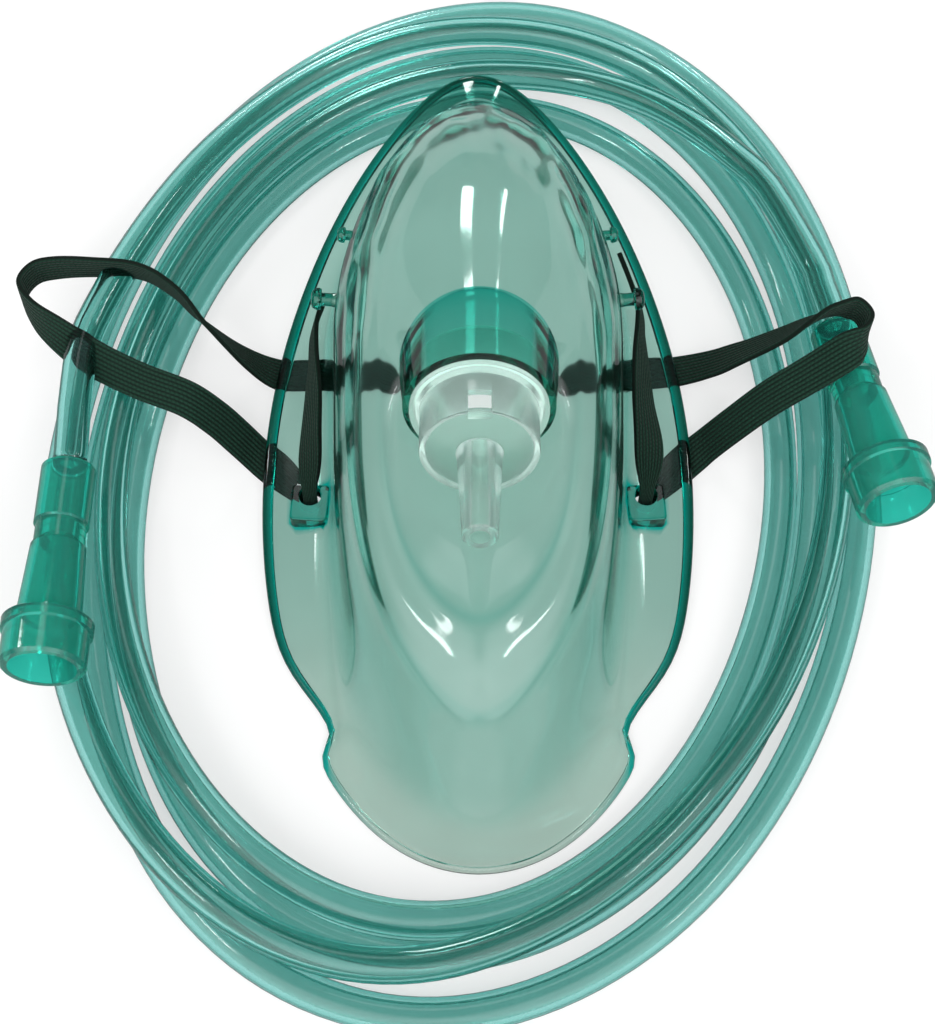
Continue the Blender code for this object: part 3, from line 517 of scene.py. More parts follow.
def strap_finish():
    """Braided elastic: fine cords along the strap, crossed by the threads that bind them."""
    finish = Finish("strap_elastic", Sheen_Weight=0.04, Sheen_Roughness=0.4, IOR=1.35)
    chart = finish.node("ShaderNodeUVMap", {"uv_map": "UVMap"})
    across = finish.node("ShaderNodeSeparateXYZ", inputs={0: chart}, output="X")
    along = finish.node("ShaderNodeSeparateXYZ", inputs={0: chart}, output="Y")
    ripple = (across * (math.pi * STRAP_CORDS)).wave()
    stitches = abs((along * (math.pi / STITCH_LENGTH) + ripple * 1.2).wave())
    weave = abs(ripple) * (0.55 + stitches * 0.45)
    fuzz = finish.noise(1800.0, detail=3.0)
    lightness = weave * (0.6 + fuzz * 0.6)
    finish.surface("Base Color", finish.blend(
        lightness, (0.0006, 0.006, 0.003), (0.004, 0.042, 0.023)))
    finish.surface("Roughness", 0.95 - weave * 0.25)
    finish.relief(weave + fuzz * 0.3, 0.0003, 0.9)
    return finish.material


# Shapes

def mesh_from(bm, name):
    """Mesh of a closed shape, with its faces turned outwards and moved into the frame."""
    bmesh.ops.recalc_face_normals(bm, faces=bm.faces)
    if bm.calc_volume(signed=True) < 0.0:
        bmesh.ops.reverse_faces(bm, faces=bm.faces)
    bmesh.ops.translate(bm, verts=bm.verts, vec=PLACE)
    mesh = bpy.data.meshes.new(name)
    bm.to_mesh(mesh)
    bm.free()
    return mesh


def show(name, mesh, finish):
    mesh.shade_smooth()
    mesh.set_sharp_from_angle(angle=SHARP_ANGLE)
    mesh.materials.append(finish)
    item = bpy.data.objects.new(name, mesh)
    bpy.context.scene.collection.objects.link(item)
    return item


def between(before, start, end, after, t):
    """Point a share t of the way from start to end on the smooth curve through four points."""
    return 0.5 * (2 * start + (end - before) * t
                  + (2 * before - 5 * start + 4 * end - after) * t * t
                  + (3 * start - before - 3 * end + after) * t ** 3)


def curve_through(points, steps):
    """Points on a smooth open curve through the given points.

    The steps are a number for every span, or one number for each.
    """
    points = np.asarray(points, dtype=float)
    padded = [2 * points[0] - points[1], *points, 2 * points[-1] - points[-2]]
    spans = len(points) - 1
    counts = [steps] * spans if isinstance(steps, int) else steps
    found = []
    for span in range(spans):
        found.extend(between(*padded[span:span + 4], step / counts[span])
                     for step in range(counts[span]))
    found.append(points[-1])
    return np.array(found)


def around(values, angle):
    """Smooth value at an angle from the nose, from its values at even steps from nose to chin."""
    loop = (*values, *values[-2:0:-1])
    place = (angle % math.tau) * len(loop) / math.tau
    index = int(place)
    return between(*(loop[(index + k) % len(loop)] for k in (-1, 0, 1, 2)), place - index)


def ring_point(ring, angle):
    """Point of an egg-shaped ring, at an angle from the nose towards the right cheek."""
    (nose_y, cheek_y, chin_y), widths, heights = ring
    along = math.cos(angle)
    half_length = nose_y - cheek_y if along > 0 else cheek_y - chin_y
    return np.array((math.sin(angle) * around(widths, angle),
                     cheek_y + half_length * along,
                     around(heights, angle)))


def notched(point):
    """Rim point drawn in where the flange is cut away between cheek and chin."""
    away = point[1] - NOTCH_Y
    reach = NOTCH_REACH_UP if away > 0 else NOTCH_REACH_DOWN
    depth = NOTCH_DEPTH * math.exp(-(away / reach) ** 2)
    return np.array((point[0] - math.copysign(depth, point[0]), point[1], point[2]))


def collar_point(angle, radius, back):
    """Point on a circle round the port, so far back from its mouth."""
    towards = math.cos(angle) * PORT_UPWARD + math.sin(angle) * np.array((1.0, 0.0, 0.0))
    return PORT_MOUTH - PORT_OUTWARD * back + radius * towards


def collar_length(angle):
    """Depth of the collar below its mouth, which is longest on the nose side."""
    share = (1 + math.cos(angle)) / 2
    return COLLAR_LENGTH_BOTTOM + (COLLAR_LENGTH_TOP - COLLAR_LENGTH_BOTTOM) * share


def outer_line(angle):
    """Outer face of the shell along one line from the rim to the root of the collar."""
    stops = [ring_point(ring, angle) for ring in SHELL_RINGS]
    stops[0] = notched(stops[0])
    stops.append(collar_point(angle, COLLAR_ROOT_RADIUS - COLLAR_STEP,
                              collar_length(angle) + COLLAR_STEP))
    return curve_through(stops, STEPS_BETWEEN_RINGS)


def surface_normals(points):
    """Outward normals of a net of points, from rim to port and round the mask."""
    inwards = np.gradient(points, axis=0)
    sideways = np.roll(points, -1, axis=1) - np.roll(points, 1, axis=1)
    normals = np.cross(inwards, sideways)
    normals /= np.linalg.norm(normals, axis=2, keepdims=True)
    return normals if normals[len(points) // 2, :, 2].mean() > 0 else -normals


def past(values, edge, softness):
    """1 past an edge and 0 short of it, with a soft step between."""
    return 1 / (1 + np.exp((edge - values) / softness))


def short_of(values, edge, softness):
    return past(-values, -edge, softness)


def band(values, middle, reach, flatness=2):
    """1 at the middle of a band, falling to 0 beyond its reach."""
    return np.exp(-((values - middle) / reach) ** flatness)


def mould_relief(places, angles):
    """Small rises of the moulded face, by place from rim to port and by angle from the nose."""
    place, angle = np.meshgrid(places, angles, indexing="ij")
    turn = np.minimum(angle, math.tau - angle)
    chin = past(turn, edge=math.radians(105), softness=0.12)
    nose = short_of(turn, edge=math.radians(38), softness=0.08)
    ledge = LEDGE_HEIGHT * band(place, LEDGE_PLACE, reach=0.16) * chin
    lip = LIP_HEIGHT * band(place, LIP_PLACE, reach=0.14) * chin
    ripples = RIPPLE_HEIGHT * np.sin(place * RIPPLE_RATE) * band(place, RIPPLE_PLACE, reach=0.5)
    ridge = RIDGE_HEIGHT * band(place, RIDGE_PLACE, reach=0.13)
    ridge = ridge * short_of(turn, edge=math.radians(26), softness=0.07)
    dome = short_of(turn, edge=math.radians(88), softness=0.10) * (1 - NOSE_CALM * nose)
    waves = 0.0
    for height, *crossing in DOME_WAVES:
        first, second = (np.sin(rate_round * angle + rate_inwards * place + shift)
                         for rate_round, rate_inwards, shift in crossing)
        waves = waves + height * first * second
    waves = waves * band(place, DOME_PLACE, reach=0.7) * dome
    return ledge + lip + ripples * nose + ridge + waves


def mould_tint_and_shade(places, angles):
    """How deeply the sheet is tinted, by place from rim to port and by angle from the nose.

    It is deeper at the nose and on the walls of the jaw, and almost clear on the chin's flange.
    At the flange's root beside the cheeks and along the chin's mould lines it is darkened with
    painted shade.
    """
    place, angle = np.meshgrid(places, angles, indexing="ij")
    turn = np.minimum(angle, math.tau - angle)
    nose = short_of(turn, edge=math.radians(24), softness=0.09)
    nose = nose * short_of(place, edge=2.2, softness=0.12)
    cheeks = band(turn, math.radians(82), reach=math.radians(34), flatness=4)
    # Painted shade in the fold at the flange's root beside the cheeks
    root = band(place, ROOT_PLACE, reach=0.16) * cheeks
    jaw = band(turn, math.radians(112), reach=math.radians(24), flatness=4)
    jaw = jaw * band(place, JAW_PLACE, reach=0.55, flatness=4)
    chin = past(turn, edge=math.radians(125), softness=0.10)
    # Painted shade along the chin's ledge and lip lines
    painted_line_shade = (band(place, LEDGE_PLACE, reach=0.05) + band(place, LIP_PLACE, reach=0.07)) * chin
    chin_flange = chin * short_of(place, edge=1.0, softness=0.15)
    sheet = SHEET_TINT * (1 - CHIN_FLANGE_CLEARING * chin_flange)
    deeper_tint_and_shade = NOSE_TINT * nose + ROOT_PAINTED_SHADE * root + JAW_TINT * jaw + LINE_PAINTED_SHADE * painted_line_shade
    return sheet + (1 - sheet) * deeper_tint_and_shade


def shell_rings():
    """Closed rings over the outer face, round the rim bead and back along the inner face.

    With each ring goes how deeply it is tinted, because the bead and the collar are thicker, with
    painted shade added at the flange's root, on the rim bead and along the chin's mould lines.
    """
    angles = [math.tau * k / SHELL_COLUMNS for k in range(SHELL_COLUMNS)]
    outer = np.stack([outer_line(angle) for angle in angles], axis=1)
    normals = surface_normals(outer)
    inner = outer - WALL * normals
    places = np.concatenate([span + np.arange(steps) / steps
                             for span, steps in enumerate(STEPS_BETWEEN_RINGS)]
                            + [[len(STEPS_BETWEEN_RINGS)]])
    outer = outer + normals * mould_relief(places, angles)[:, :, None]
    sheet_tints_and_shades = mould_tint_and_shade(places, angles)

    rings, tints_and_shades = [], []
    for k in range(COLLAR_STEPS + 1):
        share = k / COLLAR_STEPS
        radius = COLLAR_MOUTH_RADIUS + (COLLAR_ROOT_RADIUS - COLLAR_MOUTH_RADIUS) * share
        rings.append([collar_point(a, radius, collar_length(a) * share) for a in angles])
        tints_and_shades.append(COLLAR_TINT * (COLLAR_MOUTH_SHARE + (1 - COLLAR_MOUTH_SHARE) * share))
    rings.extend(outer[:0:-1])
    tints_and_shades.extend(sheet_tints_and_shades[:0:-1])

    rim = outer[0]
    outwards = rim - outer[1]
    outwards /= np.linalg.norm(outwards, axis=1, keepdims=True)
    bead_radii = (*[RIM_BEAD_RADIUS] * 3, *[CHIN_BEAD_RADIUS] * 2)
    radii = np.array([around(bead_radii, a) for a in angles])[:, None]
    centres = rim - normals[0] * WALL / 2
    # The rim bead's tint is partly its thickness and partly painted shade, strongest on its outer
    # side
    depth = np.array([around(RIM_TINT_AND_SHADE, a) for a in angles])
    for lean in BEAD_SECTION:
        rings.append(centres + radii * (math.cos(lean) * outwards + math.sin(lean) * normals[0]))
        rim_shade_share = (math.cos(lean) + RIM_TINT_AND_SHADE_SPREAD) / (1 + RIM_TINT_AND_SHADE_SPREAD)
        tints_and_shades.append(depth * math.sqrt(max(rim_shade_share, 0.0)))
    rings.extend(inner[1:])
    tints_and_shades.extend(sheet_tints_and_shades[1:])

    rings.append([collar_point(a, PORT_BORE_RADIUS, collar_length(a) + 2 * COLLAR_STEP)
                  for a in angles])
    tints_and_shades.append(COLLAR_TINT)
    for k in reversed(range(BORE_STEPS)):
        rings.append([collar_point(a, PORT_BORE_RADIUS, collar_length(a) * (k / BORE_STEPS))
                      for a in angles])
        tints_and_shades.append(COLLAR_TINT * COLLAR_MOUTH_SHARE)
    tints_and_shades = [np.broadcast_to(tint, len(angles)) for tint in tints_and_shades]
    return [[(p[0], p[1], max(p[2], 0.0)) for p in ring] for ring in rings], tints_and_shades


def extrude_rings(bm, rings, capped=False):
    """Draw the first closed ring and extrude it from ring to ring.

    The last ring is then bridged to the first, or both ends are capped. Returns each ring's
    vertices.
    """
    first = [bm.verts.new(p) for p in rings[0]]
    loop = [bm.edges.new((first[k], first[(k + 1) % len(first)])) for k in range(len(first))]
    start = loop
    verts = first
    rows = [first]
    for ring in rings[1:]:
        grown = bmesh.ops.extrude_edge_only(bm, edges=loop)["geom"]
        new_edges = [g for g in grown if isinstance(g, bmesh.types.BMEdge)]
        new_verts = {g for g in grown if isinstance(g, bmesh.types.BMVert)}
        moved = []
        for vert, place in zip(verts, ring):
            twin = next(e.other_vert(vert) for e in vert.link_edges
                        if e.other_vert(vert) in new_verts)
            twin.co = place
            moved.append(twin)
        verts = moved
        rows.append(moved)
        loop = [e for e in new_edges if e.verts[0] in new_verts and e.verts[1] in new_verts]
    if capped:
        bm.faces.new(first)
        bm.faces.new(verts)
    else:
        bmesh.ops.bridge_loops(bm, edges=start + loop)
    return rows


def spin_profile(bm, profile, segments):
    """Turn a profile of (radius, height) corners about +Z. It is open where it ends on the axis."""
    verts = [bm.verts.new((radius, 0.0, height)) for radius, height in profile]
    pairs = list(zip(verts, verts[1:]))
    if profile[0][0] > 0.0:
        pairs.append((verts[-1], verts[0]))
    edges = [bm.edges.new(pair) for pair in pairs]
    bmesh.ops.spin(bm, geom=verts + edges, cent=(0, 0, 0), axis=(0, 0, 1), angle=math.tau,
                   steps=segments, use_merge=True, use_duplicate=False)
    bmesh.ops.remove_doubles(bm, verts=bm.verts, dist=MERGE_DISTANCE)


def point_along(bm, start, direction, upward=(0.0, 0.0, 1.0)):
    """Stand a shape's own +Z along a direction, with its +Y as near as can be to upward."""
    axis = Vector(direction).normalized()
    side = Vector(upward).cross(axis).normalized()
    up = axis.cross(side)
    turn = Matrix((side, up, axis)).transposed()
    move = Matrix.Translation(Vector(start)) @ turn.to_4x4()
    bmesh.ops.transform(bm, matrix=move, verts=bm.verts)


def settle(item):
    """Give a piece the mesh that its modifiers make, and take them and their tools away."""
    tools = [m.object for m in item.modifiers if m.type == "BOOLEAN"]
    depsgraph = bpy.context.evaluated_depsgraph_get()
    mesh = bpy.data.meshes.new_from_object(item.evaluated_get(depsgraph))
    item.modifiers.clear()
    item.data = mesh
    for tool in tools:
        bpy.data.objects.remove(tool, do_unlink=True)
    return item


def combine(item, mesh, operation):
    """Join a mesh to a piece or cut it out, once the piece is settled."""
    tool = bpy.data.objects.new("tool", mesh)
    bpy.context.scene.collection.objects.link(tool)
    modifier = item.modifiers.new(operation, "BOOLEAN")
    modifier.operation = operation
    modifier.solver = "EXACT"
    modifier.object = tool


def strap_tab_mesh(side):
    """Block through the flange that carries the strap hole."""
    bm = bmesh.new()
    bmesh.ops.create_cube(bm, size=1.0)
    height = TAB_TOP_Z - TAB_UNDERSIDE_Z
    bmesh.ops.scale(bm, verts=bm.verts, vec=(TAB_WIDTH, TAB_LENGTH, height))
    upright = [e for e in bm.edges if abs(e.verts[0].co.z - e.verts[1].co.z) > height / 2]
    bmesh.ops.bevel(bm, geom=upright, offset=TAB_CORNER, segments=TAB_CORNER_SEGMENTS, profile=0.5,
                    affect="EDGES", material=-1)
    level = [e for e in bm.edges if abs(e.verts[0].co.z - e.verts[1].co.z) < height / 2]
    bmesh.ops.bevel(bm, geom=level, offset=TAB_ROUNDING, segments=TAB_ROUNDING_SEGMENTS,
                    profile=0.5, affect="EDGES", material=-1)
    bmesh.ops.rotate(bm, verts=bm.verts, cent=(0, 0, 0),
                     matrix=Matrix.Rotation(side * TAB_TURN, 3, "Z"))
    middle = (TAB_TOP_Z + TAB_UNDERSIDE_Z) / 2
    bmesh.ops.translate(bm, verts=bm.verts, vec=(side * TAB_X, TAB_Y, middle))
    return mesh_from(bm, "strap_tab")


def strap_hole_mesh(side):
    bm = bmesh.new()
    bmesh.ops.create_cone(bm, cap_ends=True, segments=HOLE_SEGMENTS, radius1=STRAP_HOLE_RADIUS,
                          radius2=STRAP_HOLE_RADIUS, depth=4 * (TAB_TOP_Z - TAB_UNDERSIDE_Z))
    bmesh.ops.translate(bm, verts=bm.verts, vec=(side * TAB_X, STRAP_HOLE_Y, TAB_TOP_Z))
    return mesh_from(bm, "strap_hole")


def post_mesh(post, side):
    """Mushroom post that stands sideways out of the cheek."""
    reach, stem, head, cap = post["reach"], post["stem"], post["head"], post["cap"]
    neck = reach - cap
    stalk = [(0.0, -POST_SINK), (stem * POST_ROOT, -POST_SINK), (stem, POST_SINK), (stem, neck)]
    top = [(head * out, neck + cap * up) for out, up in POST_CAP]
    bm = bmesh.new()
    spin_profile(bm, stalk + top, POST_SEGMENTS)
    direction = Vector((side * math.cos(POST_RISE), 0.0, math.sin(POST_RISE)))
    turn = Vector((0.0, 0.0, 1.0)).rotation_difference(direction).to_matrix()
    bmesh.ops.rotate(bm, verts=bm.verts, cent=(0, 0, 0), matrix=turn)
    at = post["at"]
    bmesh.ops.translate(bm, verts=bm.verts, vec=(side * at[0], at[1], at[2]))
    return mesh_from(bm, "post")


def tint_fittings(mesh):
    """Tint the strap tabs and posts more deeply than the sheet they stand on."""
    for vert, shade in zip(mesh.vertices, mesh.attributes["tint"].data):
        x, y, z = vert.co - PLACE
        x = abs(x)
        if (abs(x - TAB_X) < TAB_WIDTH / 2 + FITTING_MARGIN
                and abs(y - TAB_Y) < TAB_LENGTH / 2 + FITTING_MARGIN
                and TAB_UNDERSIDE_Z - FITTING_MARGIN < z < TAB_TOP_Z + FITTING_MARGIN):
            shade.value = TAB_TINT
        for post in (CHEEK_POST, BROW_POST):
            out, along, up = x - post["at"][0], y - post["at"][1], z - post["at"][2]
            off_axis = math.hypot(along, up - out * math.tan(POST_RISE))
            if (POST_SINK < out < post["reach"] + POST_SINK
                    and off_axis < post["head"] + FITTING_MARGIN):
                shade.value = POST_TINT


def make_mask_shell():
    rings, tints_and_shades = shell_rings()
    bm = bmesh.new()
    # Each vertex keeps its tint, with the painted shade of the flange root, rim bead and chin lines
    layer = bm.verts.layers.float.new("tint")
    rows = extrude_rings(bm, rings)
    for row, shades in zip(rows, tints_and_shades):
        for vert, shade in zip(row, shades):
            vert[layer] = shade
    shell = show("moulded_mask", mesh_from(bm, "moulded_mask"), mask_finish())
    for side in (-1, 1):
        combine(shell, strap_tab_mesh(side), "UNION")
        combine(shell, strap_hole_mesh(side), "DIFFERENCE")
        combine(shell, post_mesh(CHEEK_POST, side), "UNION")
        combine(shell, post_mesh(BROW_POST, side), "UNION")
    settle(shell)
    tint_fittings(shell.data)
    return shell


def make_port_connector():
    """Turned connector with a bored spigot, laid out along the port from the collar's mouth."""
    plug = PORT_BORE_RADIUS - FIT_GAP
    bore = CONNECTOR_BODY_RADIUS - CONNECTOR_WALL
    face = FIT_GAP + CONNECTOR_RIM_THICKNESS + CONNECTOR_BODY_LENGTH
    tip = face + SPIGOT_LENGTH
    edge = CONNECTOR_EDGE
    cut = CORNER_CUT * edge
    rim = FIT_GAP + CONNECTOR_RIM_THICKNESS
    profile = (
        (bore, -PLUG_LENGTH), (plug - edge / 2, -PLUG_LENGTH), (plug, -PLUG_LENGTH + edge),
        (plug, FIT_GAP),
        (CONNECTOR_RIM_RADIUS - edge / 4, FIT_GAP), (CONNECTOR_RIM_RADIUS, FIT_GAP + edge / 4),
        (CONNECTOR_RIM_RADIUS, rim - edge), (CONNECTOR_RIM_RADIUS - cut, rim - cut),
        (CONNECTOR_RIM_RADIUS - edge, rim),
        (CONNECTOR_BODY_RADIUS + edge / 4, rim), (CONNECTOR_BODY_RADIUS, rim + edge / 4),
        (CONNECTOR_BODY_RADIUS, face - edge), (CONNECTOR_BODY_RADIUS - cut, face - cut),
        (CONNECTOR_BODY_RADIUS - edge, face),
        (SPIGOT_ROOT_RADIUS + edge, face), (SPIGOT_ROOT_RADIUS + cut, face + cut),
        (SPIGOT_ROOT_RADIUS, face + edge),
        (SPIGOT_TIP_RADIUS, tip - edge / 2), (SPIGOT_TIP_RADIUS - edge / 2, tip),
        (SPIGOT_BORE_RADIUS, tip), (SPIGOT_BORE_RADIUS, face - CONNECTOR_WALL),
        (bore, face - CONNECTOR_WALL))
    bm = bmesh.new()
    layer = bm.verts.layers.float.new("plug")
    spin_profile(bm, profile, TURNED_SEGMENTS)
    # The plug attribute marks the plug's outer face, which gets the painted glow
    for vert in bm.verts:
        outer = math.hypot(vert.co.x, vert.co.y) > bore + MERGE_DISTANCE
        vert[layer] = 1.0 if outer and vert.co.z < FIT_GAP + MERGE_DISTANCE else 0.0
    point_along(bm, PORT_MOUTH, PORT_OUTWARD, PORT_UPWARD)
    item = show("spigot_connector", mesh_from(bm, "spigot_connector"), connector_finish())
    bm = bmesh.new()
    bmesh.ops.create_cube(bm, size=1.0)
    bmesh.ops.scale(bm, verts=bm.verts, vec=(WINDOW_WIDTH, 4 * CONNECTOR_WALL, WINDOW_LENGTH))
    along = rim + WINDOW_FROM_RIM + WINDOW_LENGTH / 2
    bmesh.ops.translate(bm, verts=bm.verts, vec=(0.0, CONNECTOR_BODY_RADIUS, along))
    point_along(bm, PORT_MOUTH, PORT_OUTWARD, PORT_UPWARD)
    combine(item, mesh_from(bm, "window"), "DIFFERENCE")
    return settle(item)


def make_strap():
    """Flat band along its route, with its weave laid out along its own length."""
    places = curve_through([stop[0] for stop in STRAP_ROUTE], STRAP_STEPS)
    widths = curve_through([stop[1] for stop in STRAP_ROUTE], STRAP_STEPS)
    shares = curve_through([stop[2:] for stop in STRAP_ROUTE], STRAP_STEPS)
    forward = np.gradient(places, axis=0)
    forward /= np.linalg.norm(forward, axis=1, keepdims=True)
    across = widths - forward * np.sum(widths * forward, axis=1, keepdims=True)
    across /= np.linalg.norm(across, axis=1, keepdims=True)
    through = np.cross(forward, across)
    half_width = shares[:, :1] * STRAP_WIDTH / 2
    half_thick = shares[:, 1:] * STRAP_THICKNESS / 2
    upper = (*STRAP_QUARTER, *((-a, b) for a, b in STRAP_QUARTER[-2::-1]))
    section = (*upper, *((a, -b) for a, b in reversed(upper)))
    rings = [[places[k] + a * half_width[k] * across[k] + b * half_thick[k] * through[k]
              for a, b in section] for k in range(len(places))]
    bm = bmesh.new()
    layer = bm.loops.layers.uv.new("UVMap")
    rows = extrude_rings(bm, rings, capped=True)
    gone = np.r_[0.0, np.cumsum(np.linalg.norm(np.diff(places, axis=0), axis=1))]
    chart = {vert: ((side + 1) / 2, along) for row, along in zip(rows, gone)
             for vert, (side, rise) in zip(row, section)}
    for face in bm.faces:
        for loop in face.loops:
            loop[layer].uv = chart[loop.vert]
    return show("elastic_band", mesh_from(bm, "elastic_band"), strap_finish())


def oval_point(centre, half, angle):
    """Point of an oval that is turned as the coil is."""
    x, y = half[0] * math.cos(angle), half[1] * math.sin(angle)
    c, s = math.cos(COIL_TURN), math.sin(COIL_TURN)
    return np.array((centre[0] + c * x - s * y, centre[1] + s * x + c * y))


def coil_point(turn, share, height):
    """Point of the coil, with its height in millimetres."""
    angle = math.pi - math.tau * turn
    inner = oval_point(COIL_INNER_CENTRE, COIL_INNER_HALF, angle)
    outer = oval_point(COIL_OUTER_CENTRE, COIL_OUTER_HALF, angle)
    x, y = inner + (outer - inner) * share
    return x, y, height / 1000


def tube_line():
    """Middle line of the tube, from the left funnel round the coil to the right funnel."""
    stops = np.array(TUBE_STOPS)
    turns = stops[:, 0]
    slopes = np.gradient(stops, axis=0) / np.gradient(turns)[:, None]
    points = list(LEFT_TUBE_ROUTE)
    # Smooth share and height between the stops, which are unevenly spaced
    for turn in np.arange(turns[0], turns[-1], COIL_STEP):
        k = min(max(np.searchsorted(turns, turn) - 1, 0), len(turns) - 2)
        span = turns[k + 1] - turns[k]
        u = (turn - turns[k]) / span
        stop = ((2 * u**3 - 3 * u**2 + 1) * stops[k] + (u**3 - 2 * u**2 + u) * span * slopes[k]
                + (3 * u**2 - 2 * u**3) * stops[k + 1] + (u**3 - u**2) * span * slopes[k + 1])
        points.append(coil_point(turn, stop[1], stop[2]))
    points.extend(reversed(RIGHT_TUBE_ROUTE))
    return curve_through(points, TUBE_STEPS) + np.array(PLACE)


def make_tube(line):
    """Hollow tube along a line."""
    curve = bpy.data.curves.new("oxygen_tube", "CURVE")
    curve.dimensions = "3D"
    curve.bevel_depth = TUBE_RADIUS
    curve.bevel_resolution = TUBE_SEGMENTS // 4 - 1
    spline = curve.splines.new("POLY")
    spline.points.add(len(line) - 1)
    for point, place in zip(spline.points, line):
        point.co = (*place, 1.0)
    drawn = bpy.data.objects.new("tube_curve", curve)
    bpy.context.scene.collection.objects.link(drawn)
    depsgraph = bpy.context.evaluated_depsgraph_get()
    mesh = bpy.data.meshes.new_from_object(drawn.evaluated_get(depsgraph))
    bpy.data.objects.remove(drawn, do_unlink=True)
    item = show("oxygen_tube", mesh, tube_finish())
    wall = item.modifiers.new("wall", "SOLIDIFY")
    wall.thickness = TUBE_WALL
    wall.offset = -1.0
    return settle(item)


def make_funnel(name, small_end, mouth, finish):
    """Hollow tube connector, its own +Z from the tube socket to the open cuff."""
    neck = FUNNEL_SOCKET_DEPTH + FUNNEL_NECK_LENGTH
    cuff = FUNNEL_LENGTH - FUNNEL_CUFF_LENGTH
    flare = cuff - FUNNEL_FLARE_LENGTH
    lip = cuff + FUNNEL_LIP_LENGTH
    stop = FUNNEL_SOCKET_DEPTH + FUNNEL_STOP_THICKNESS
    bore = TUBE_RADIUS + FIT_GAP / 3
    edge = FUNNEL_EDGE
    outside = (
        (FUNNEL_SOCKET_RADIUS - edge, 0.0), (FUNNEL_SOCKET_RADIUS, edge),
        (FUNNEL_SOCKET_RADIUS, FUNNEL_SOCKET_DEPTH),
        (FUNNEL_NECK_RADIUS, FUNNEL_SOCKET_DEPTH + edge), (FUNNEL_NECK_RADIUS, neck),
        (FUNNEL_SOCKET_RADIUS, neck + edge), (FUNNEL_BODY_RADIUS, flare),
        (FUNNEL_LIP_RADIUS - edge, cuff), (FUNNEL_LIP_RADIUS, cuff + edge),
        (FUNNEL_LIP_RADIUS, lip), (FUNNEL_CUFF_RADIUS, lip + edge),
        (FUNNEL_CUFF_RADIUS, FUNNEL_LENGTH - 2 * edge),
        (FUNNEL_CUFF_RADIUS - 2 * edge, FUNNEL_LENGTH))
    inside = (
        (FUNNEL_MOUTH_RADIUS, FUNNEL_LENGTH), (FUNNEL_MOUTH_RADIUS - edge, cuff),
        (FUNNEL_BODY_RADIUS - FUNNEL_WALL, flare), (FUNNEL_SOCKET_RADIUS - FUNNEL_WALL, neck),
        (FUNNEL_STOP_RADIUS, stop), (FUNNEL_STOP_RADIUS, FUNNEL_SOCKET_DEPTH),
        (bore, FUNNEL_SOCKET_DEPTH - edge), (bore, 0.0))
    bm = bmesh.new()
    spin_profile(bm, outside + inside, TURNED_SEGMENTS)
    point_along(bm, small_end, Vector(mouth) - Vector(small_end))
    return show(name, mesh_from(bm, name), finish)


# Studio

def make_camera():
    back = Vector((0.0, -math.cos(CAMERA_RISE), math.sin(CAMERA_RISE)))
    data = bpy.data.cameras.new("camera")
    data.lens = LENS
    data.sensor_width = SENSOR
    data.clip_start = CAMERA_NEAREST
    item = bpy.data.objects.new("camera", data)
    item.location = CAMERA_TARGET + back * CAMERA_DISTANCE
    item.rotation_euler = (math.pi / 2 - CAMERA_RISE, 0.0, 0.0)
    bpy.context.scene.collection.objects.link(item)
    bpy.context.scene.camera = item


def seen_plainly(nodes):
    """1 for what the camera sees, also through clear pieces, and 0 for reflections and light."""
    by_camera = nodes.node("ShaderNodeLightPath", output="Is Camera Ray")
    return by_camera.largest(nodes.node("ShaderNodeLightPath", output="Is Transmission Ray"))


def make_floor():
    finish = Finish("studio_floor", Base_Color=FLOOR_GREY, Roughness=0.9, Specular_IOR_Level=0.0,
                    Emission_Strength=1.0)
    finish.surface("Emission Color", finish.blend(seen_plainly(finish), DARK, FLOOR_SEEN))
    bm = bmesh.new()
    bmesh.ops.create_grid(bm, x_segments=1, y_segments=1, size=FLOOR_SIZE)
    mesh = bpy.data.meshes.new("studio_floor")
    bm.to_mesh(mesh)
    bm.free()
    mesh.materials.append(finish.material)
    item = bpy.data.objects.new("studio_floor", mesh)
    item.location.z = -FLOOR_DROP
    bpy.context.scene.collection.objects.link(item)


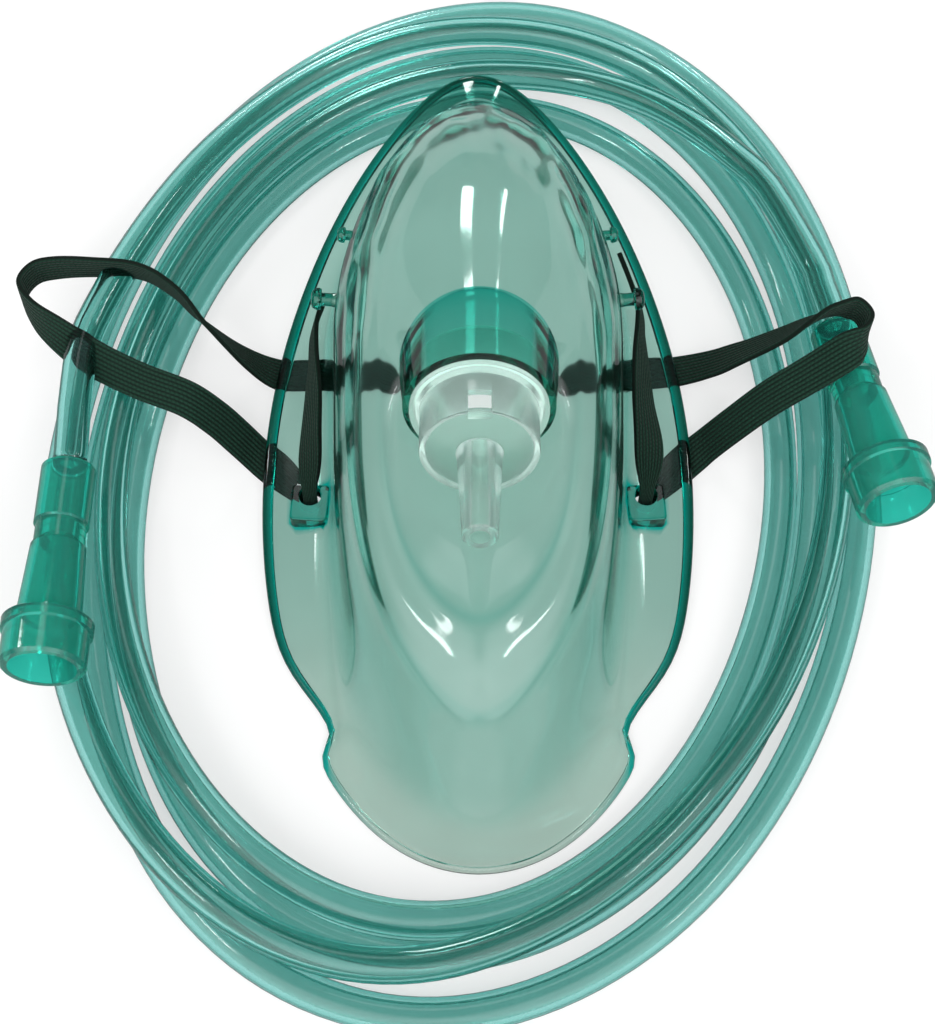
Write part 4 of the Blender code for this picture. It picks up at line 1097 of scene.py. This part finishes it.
def make_world():
    """White to the camera, also through clear pieces, and soft light for everything else."""
    world = bpy.data.worlds.new("studio")
    world.use_nodes = True
    nodes = Nodes(world.node_tree)
    way = nodes.node("ShaderNodeTexCoord", output="Generated")
    light = SOFT_LIGHT
    for towards, inner, outer, strength in LIGHT_PATCHES:
        near = nodes.node("ShaderNodeVectorMath", {"operation": "DOT_PRODUCT"},
                          {0: way, 1: towards}, output="Value")
        patch = nodes.node("ShaderNodeMapRange", {"interpolation_type": "SMOOTHSTEP"}, {
            "Value": near, "From Min": math.cos(math.radians(outer)),
            "From Max": math.cos(math.radians(inner))})
        light = light + patch * strength
    seen = seen_plainly(nodes)
    background = world.node_tree.nodes["Background"]
    nodes.set(background, "Color", (1.0, 1.0, 1.0))
    nodes.set(background, "Strength", light * (1.0 - seen) + seen)
    bpy.context.scene.world = world


def make_lamp(name, start, end, width):
    """Long flat lamp a metre away, from start to end."""
    start, end = (
        Vector((math.cos(up) * math.sin(turn), math.cos(up) * math.cos(turn), math.sin(up)))
        for turn, up in (np.radians(start), np.radians(end)))
    back = (start + end).normalized()
    along = (end - start - (end - start).project(back)).normalized()
    turn = Matrix((along.cross(back), along, back)).transposed()
    data = bpy.data.lights.new(name, "AREA")
    data.shape = "RECTANGLE"
    data.size = width
    data.size_y = (end - start).length
    data.energy = LAMP_BRIGHTNESS * math.pi * data.size * data.size_y
    item = bpy.data.objects.new(name, data)
    item.matrix_world = Matrix.Translation((start + end) / 2) @ turn.to_4x4()
    bpy.context.scene.collection.objects.link(item)


# Build

make_camera()
line = tube_line()
tube = make_tube(line)
green = funnel_finish()
left_funnel = make_funnel("left_funnel", LEFT_FUNNEL_SMALL_END, LEFT_FUNNEL_MOUTH, green)
right_funnel = make_funnel("right_funnel", RIGHT_FUNNEL_SMALL_END, RIGHT_FUNNEL_MOUTH, green)
mask = make_mask_shell()
connector = make_port_connector()
strap = make_strap()

for piece, nodes, slot in (
        (tube, ("tube_coil", "tube_end_left", "tube_end_right"), "tube_pvc"),
        (left_funnel, ("tube_connector_left",), "funnel_pvc"),
        (right_funnel, ("tube_connector_right",), "funnel_pvc"),
        (mask, ("mask_shell",), "mask_pvc"),
        (connector, ("port_connector",), "connector_plastic"),
        (strap, ("elastic_strap",), "strap_elastic")):
    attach(piece, "root")
    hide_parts(*nodes)

make_floor()
make_world()
for lamp in LAMPS:
    make_lamp(*lamp)

bpy.context.scene.view_settings.view_transform = "Standard"
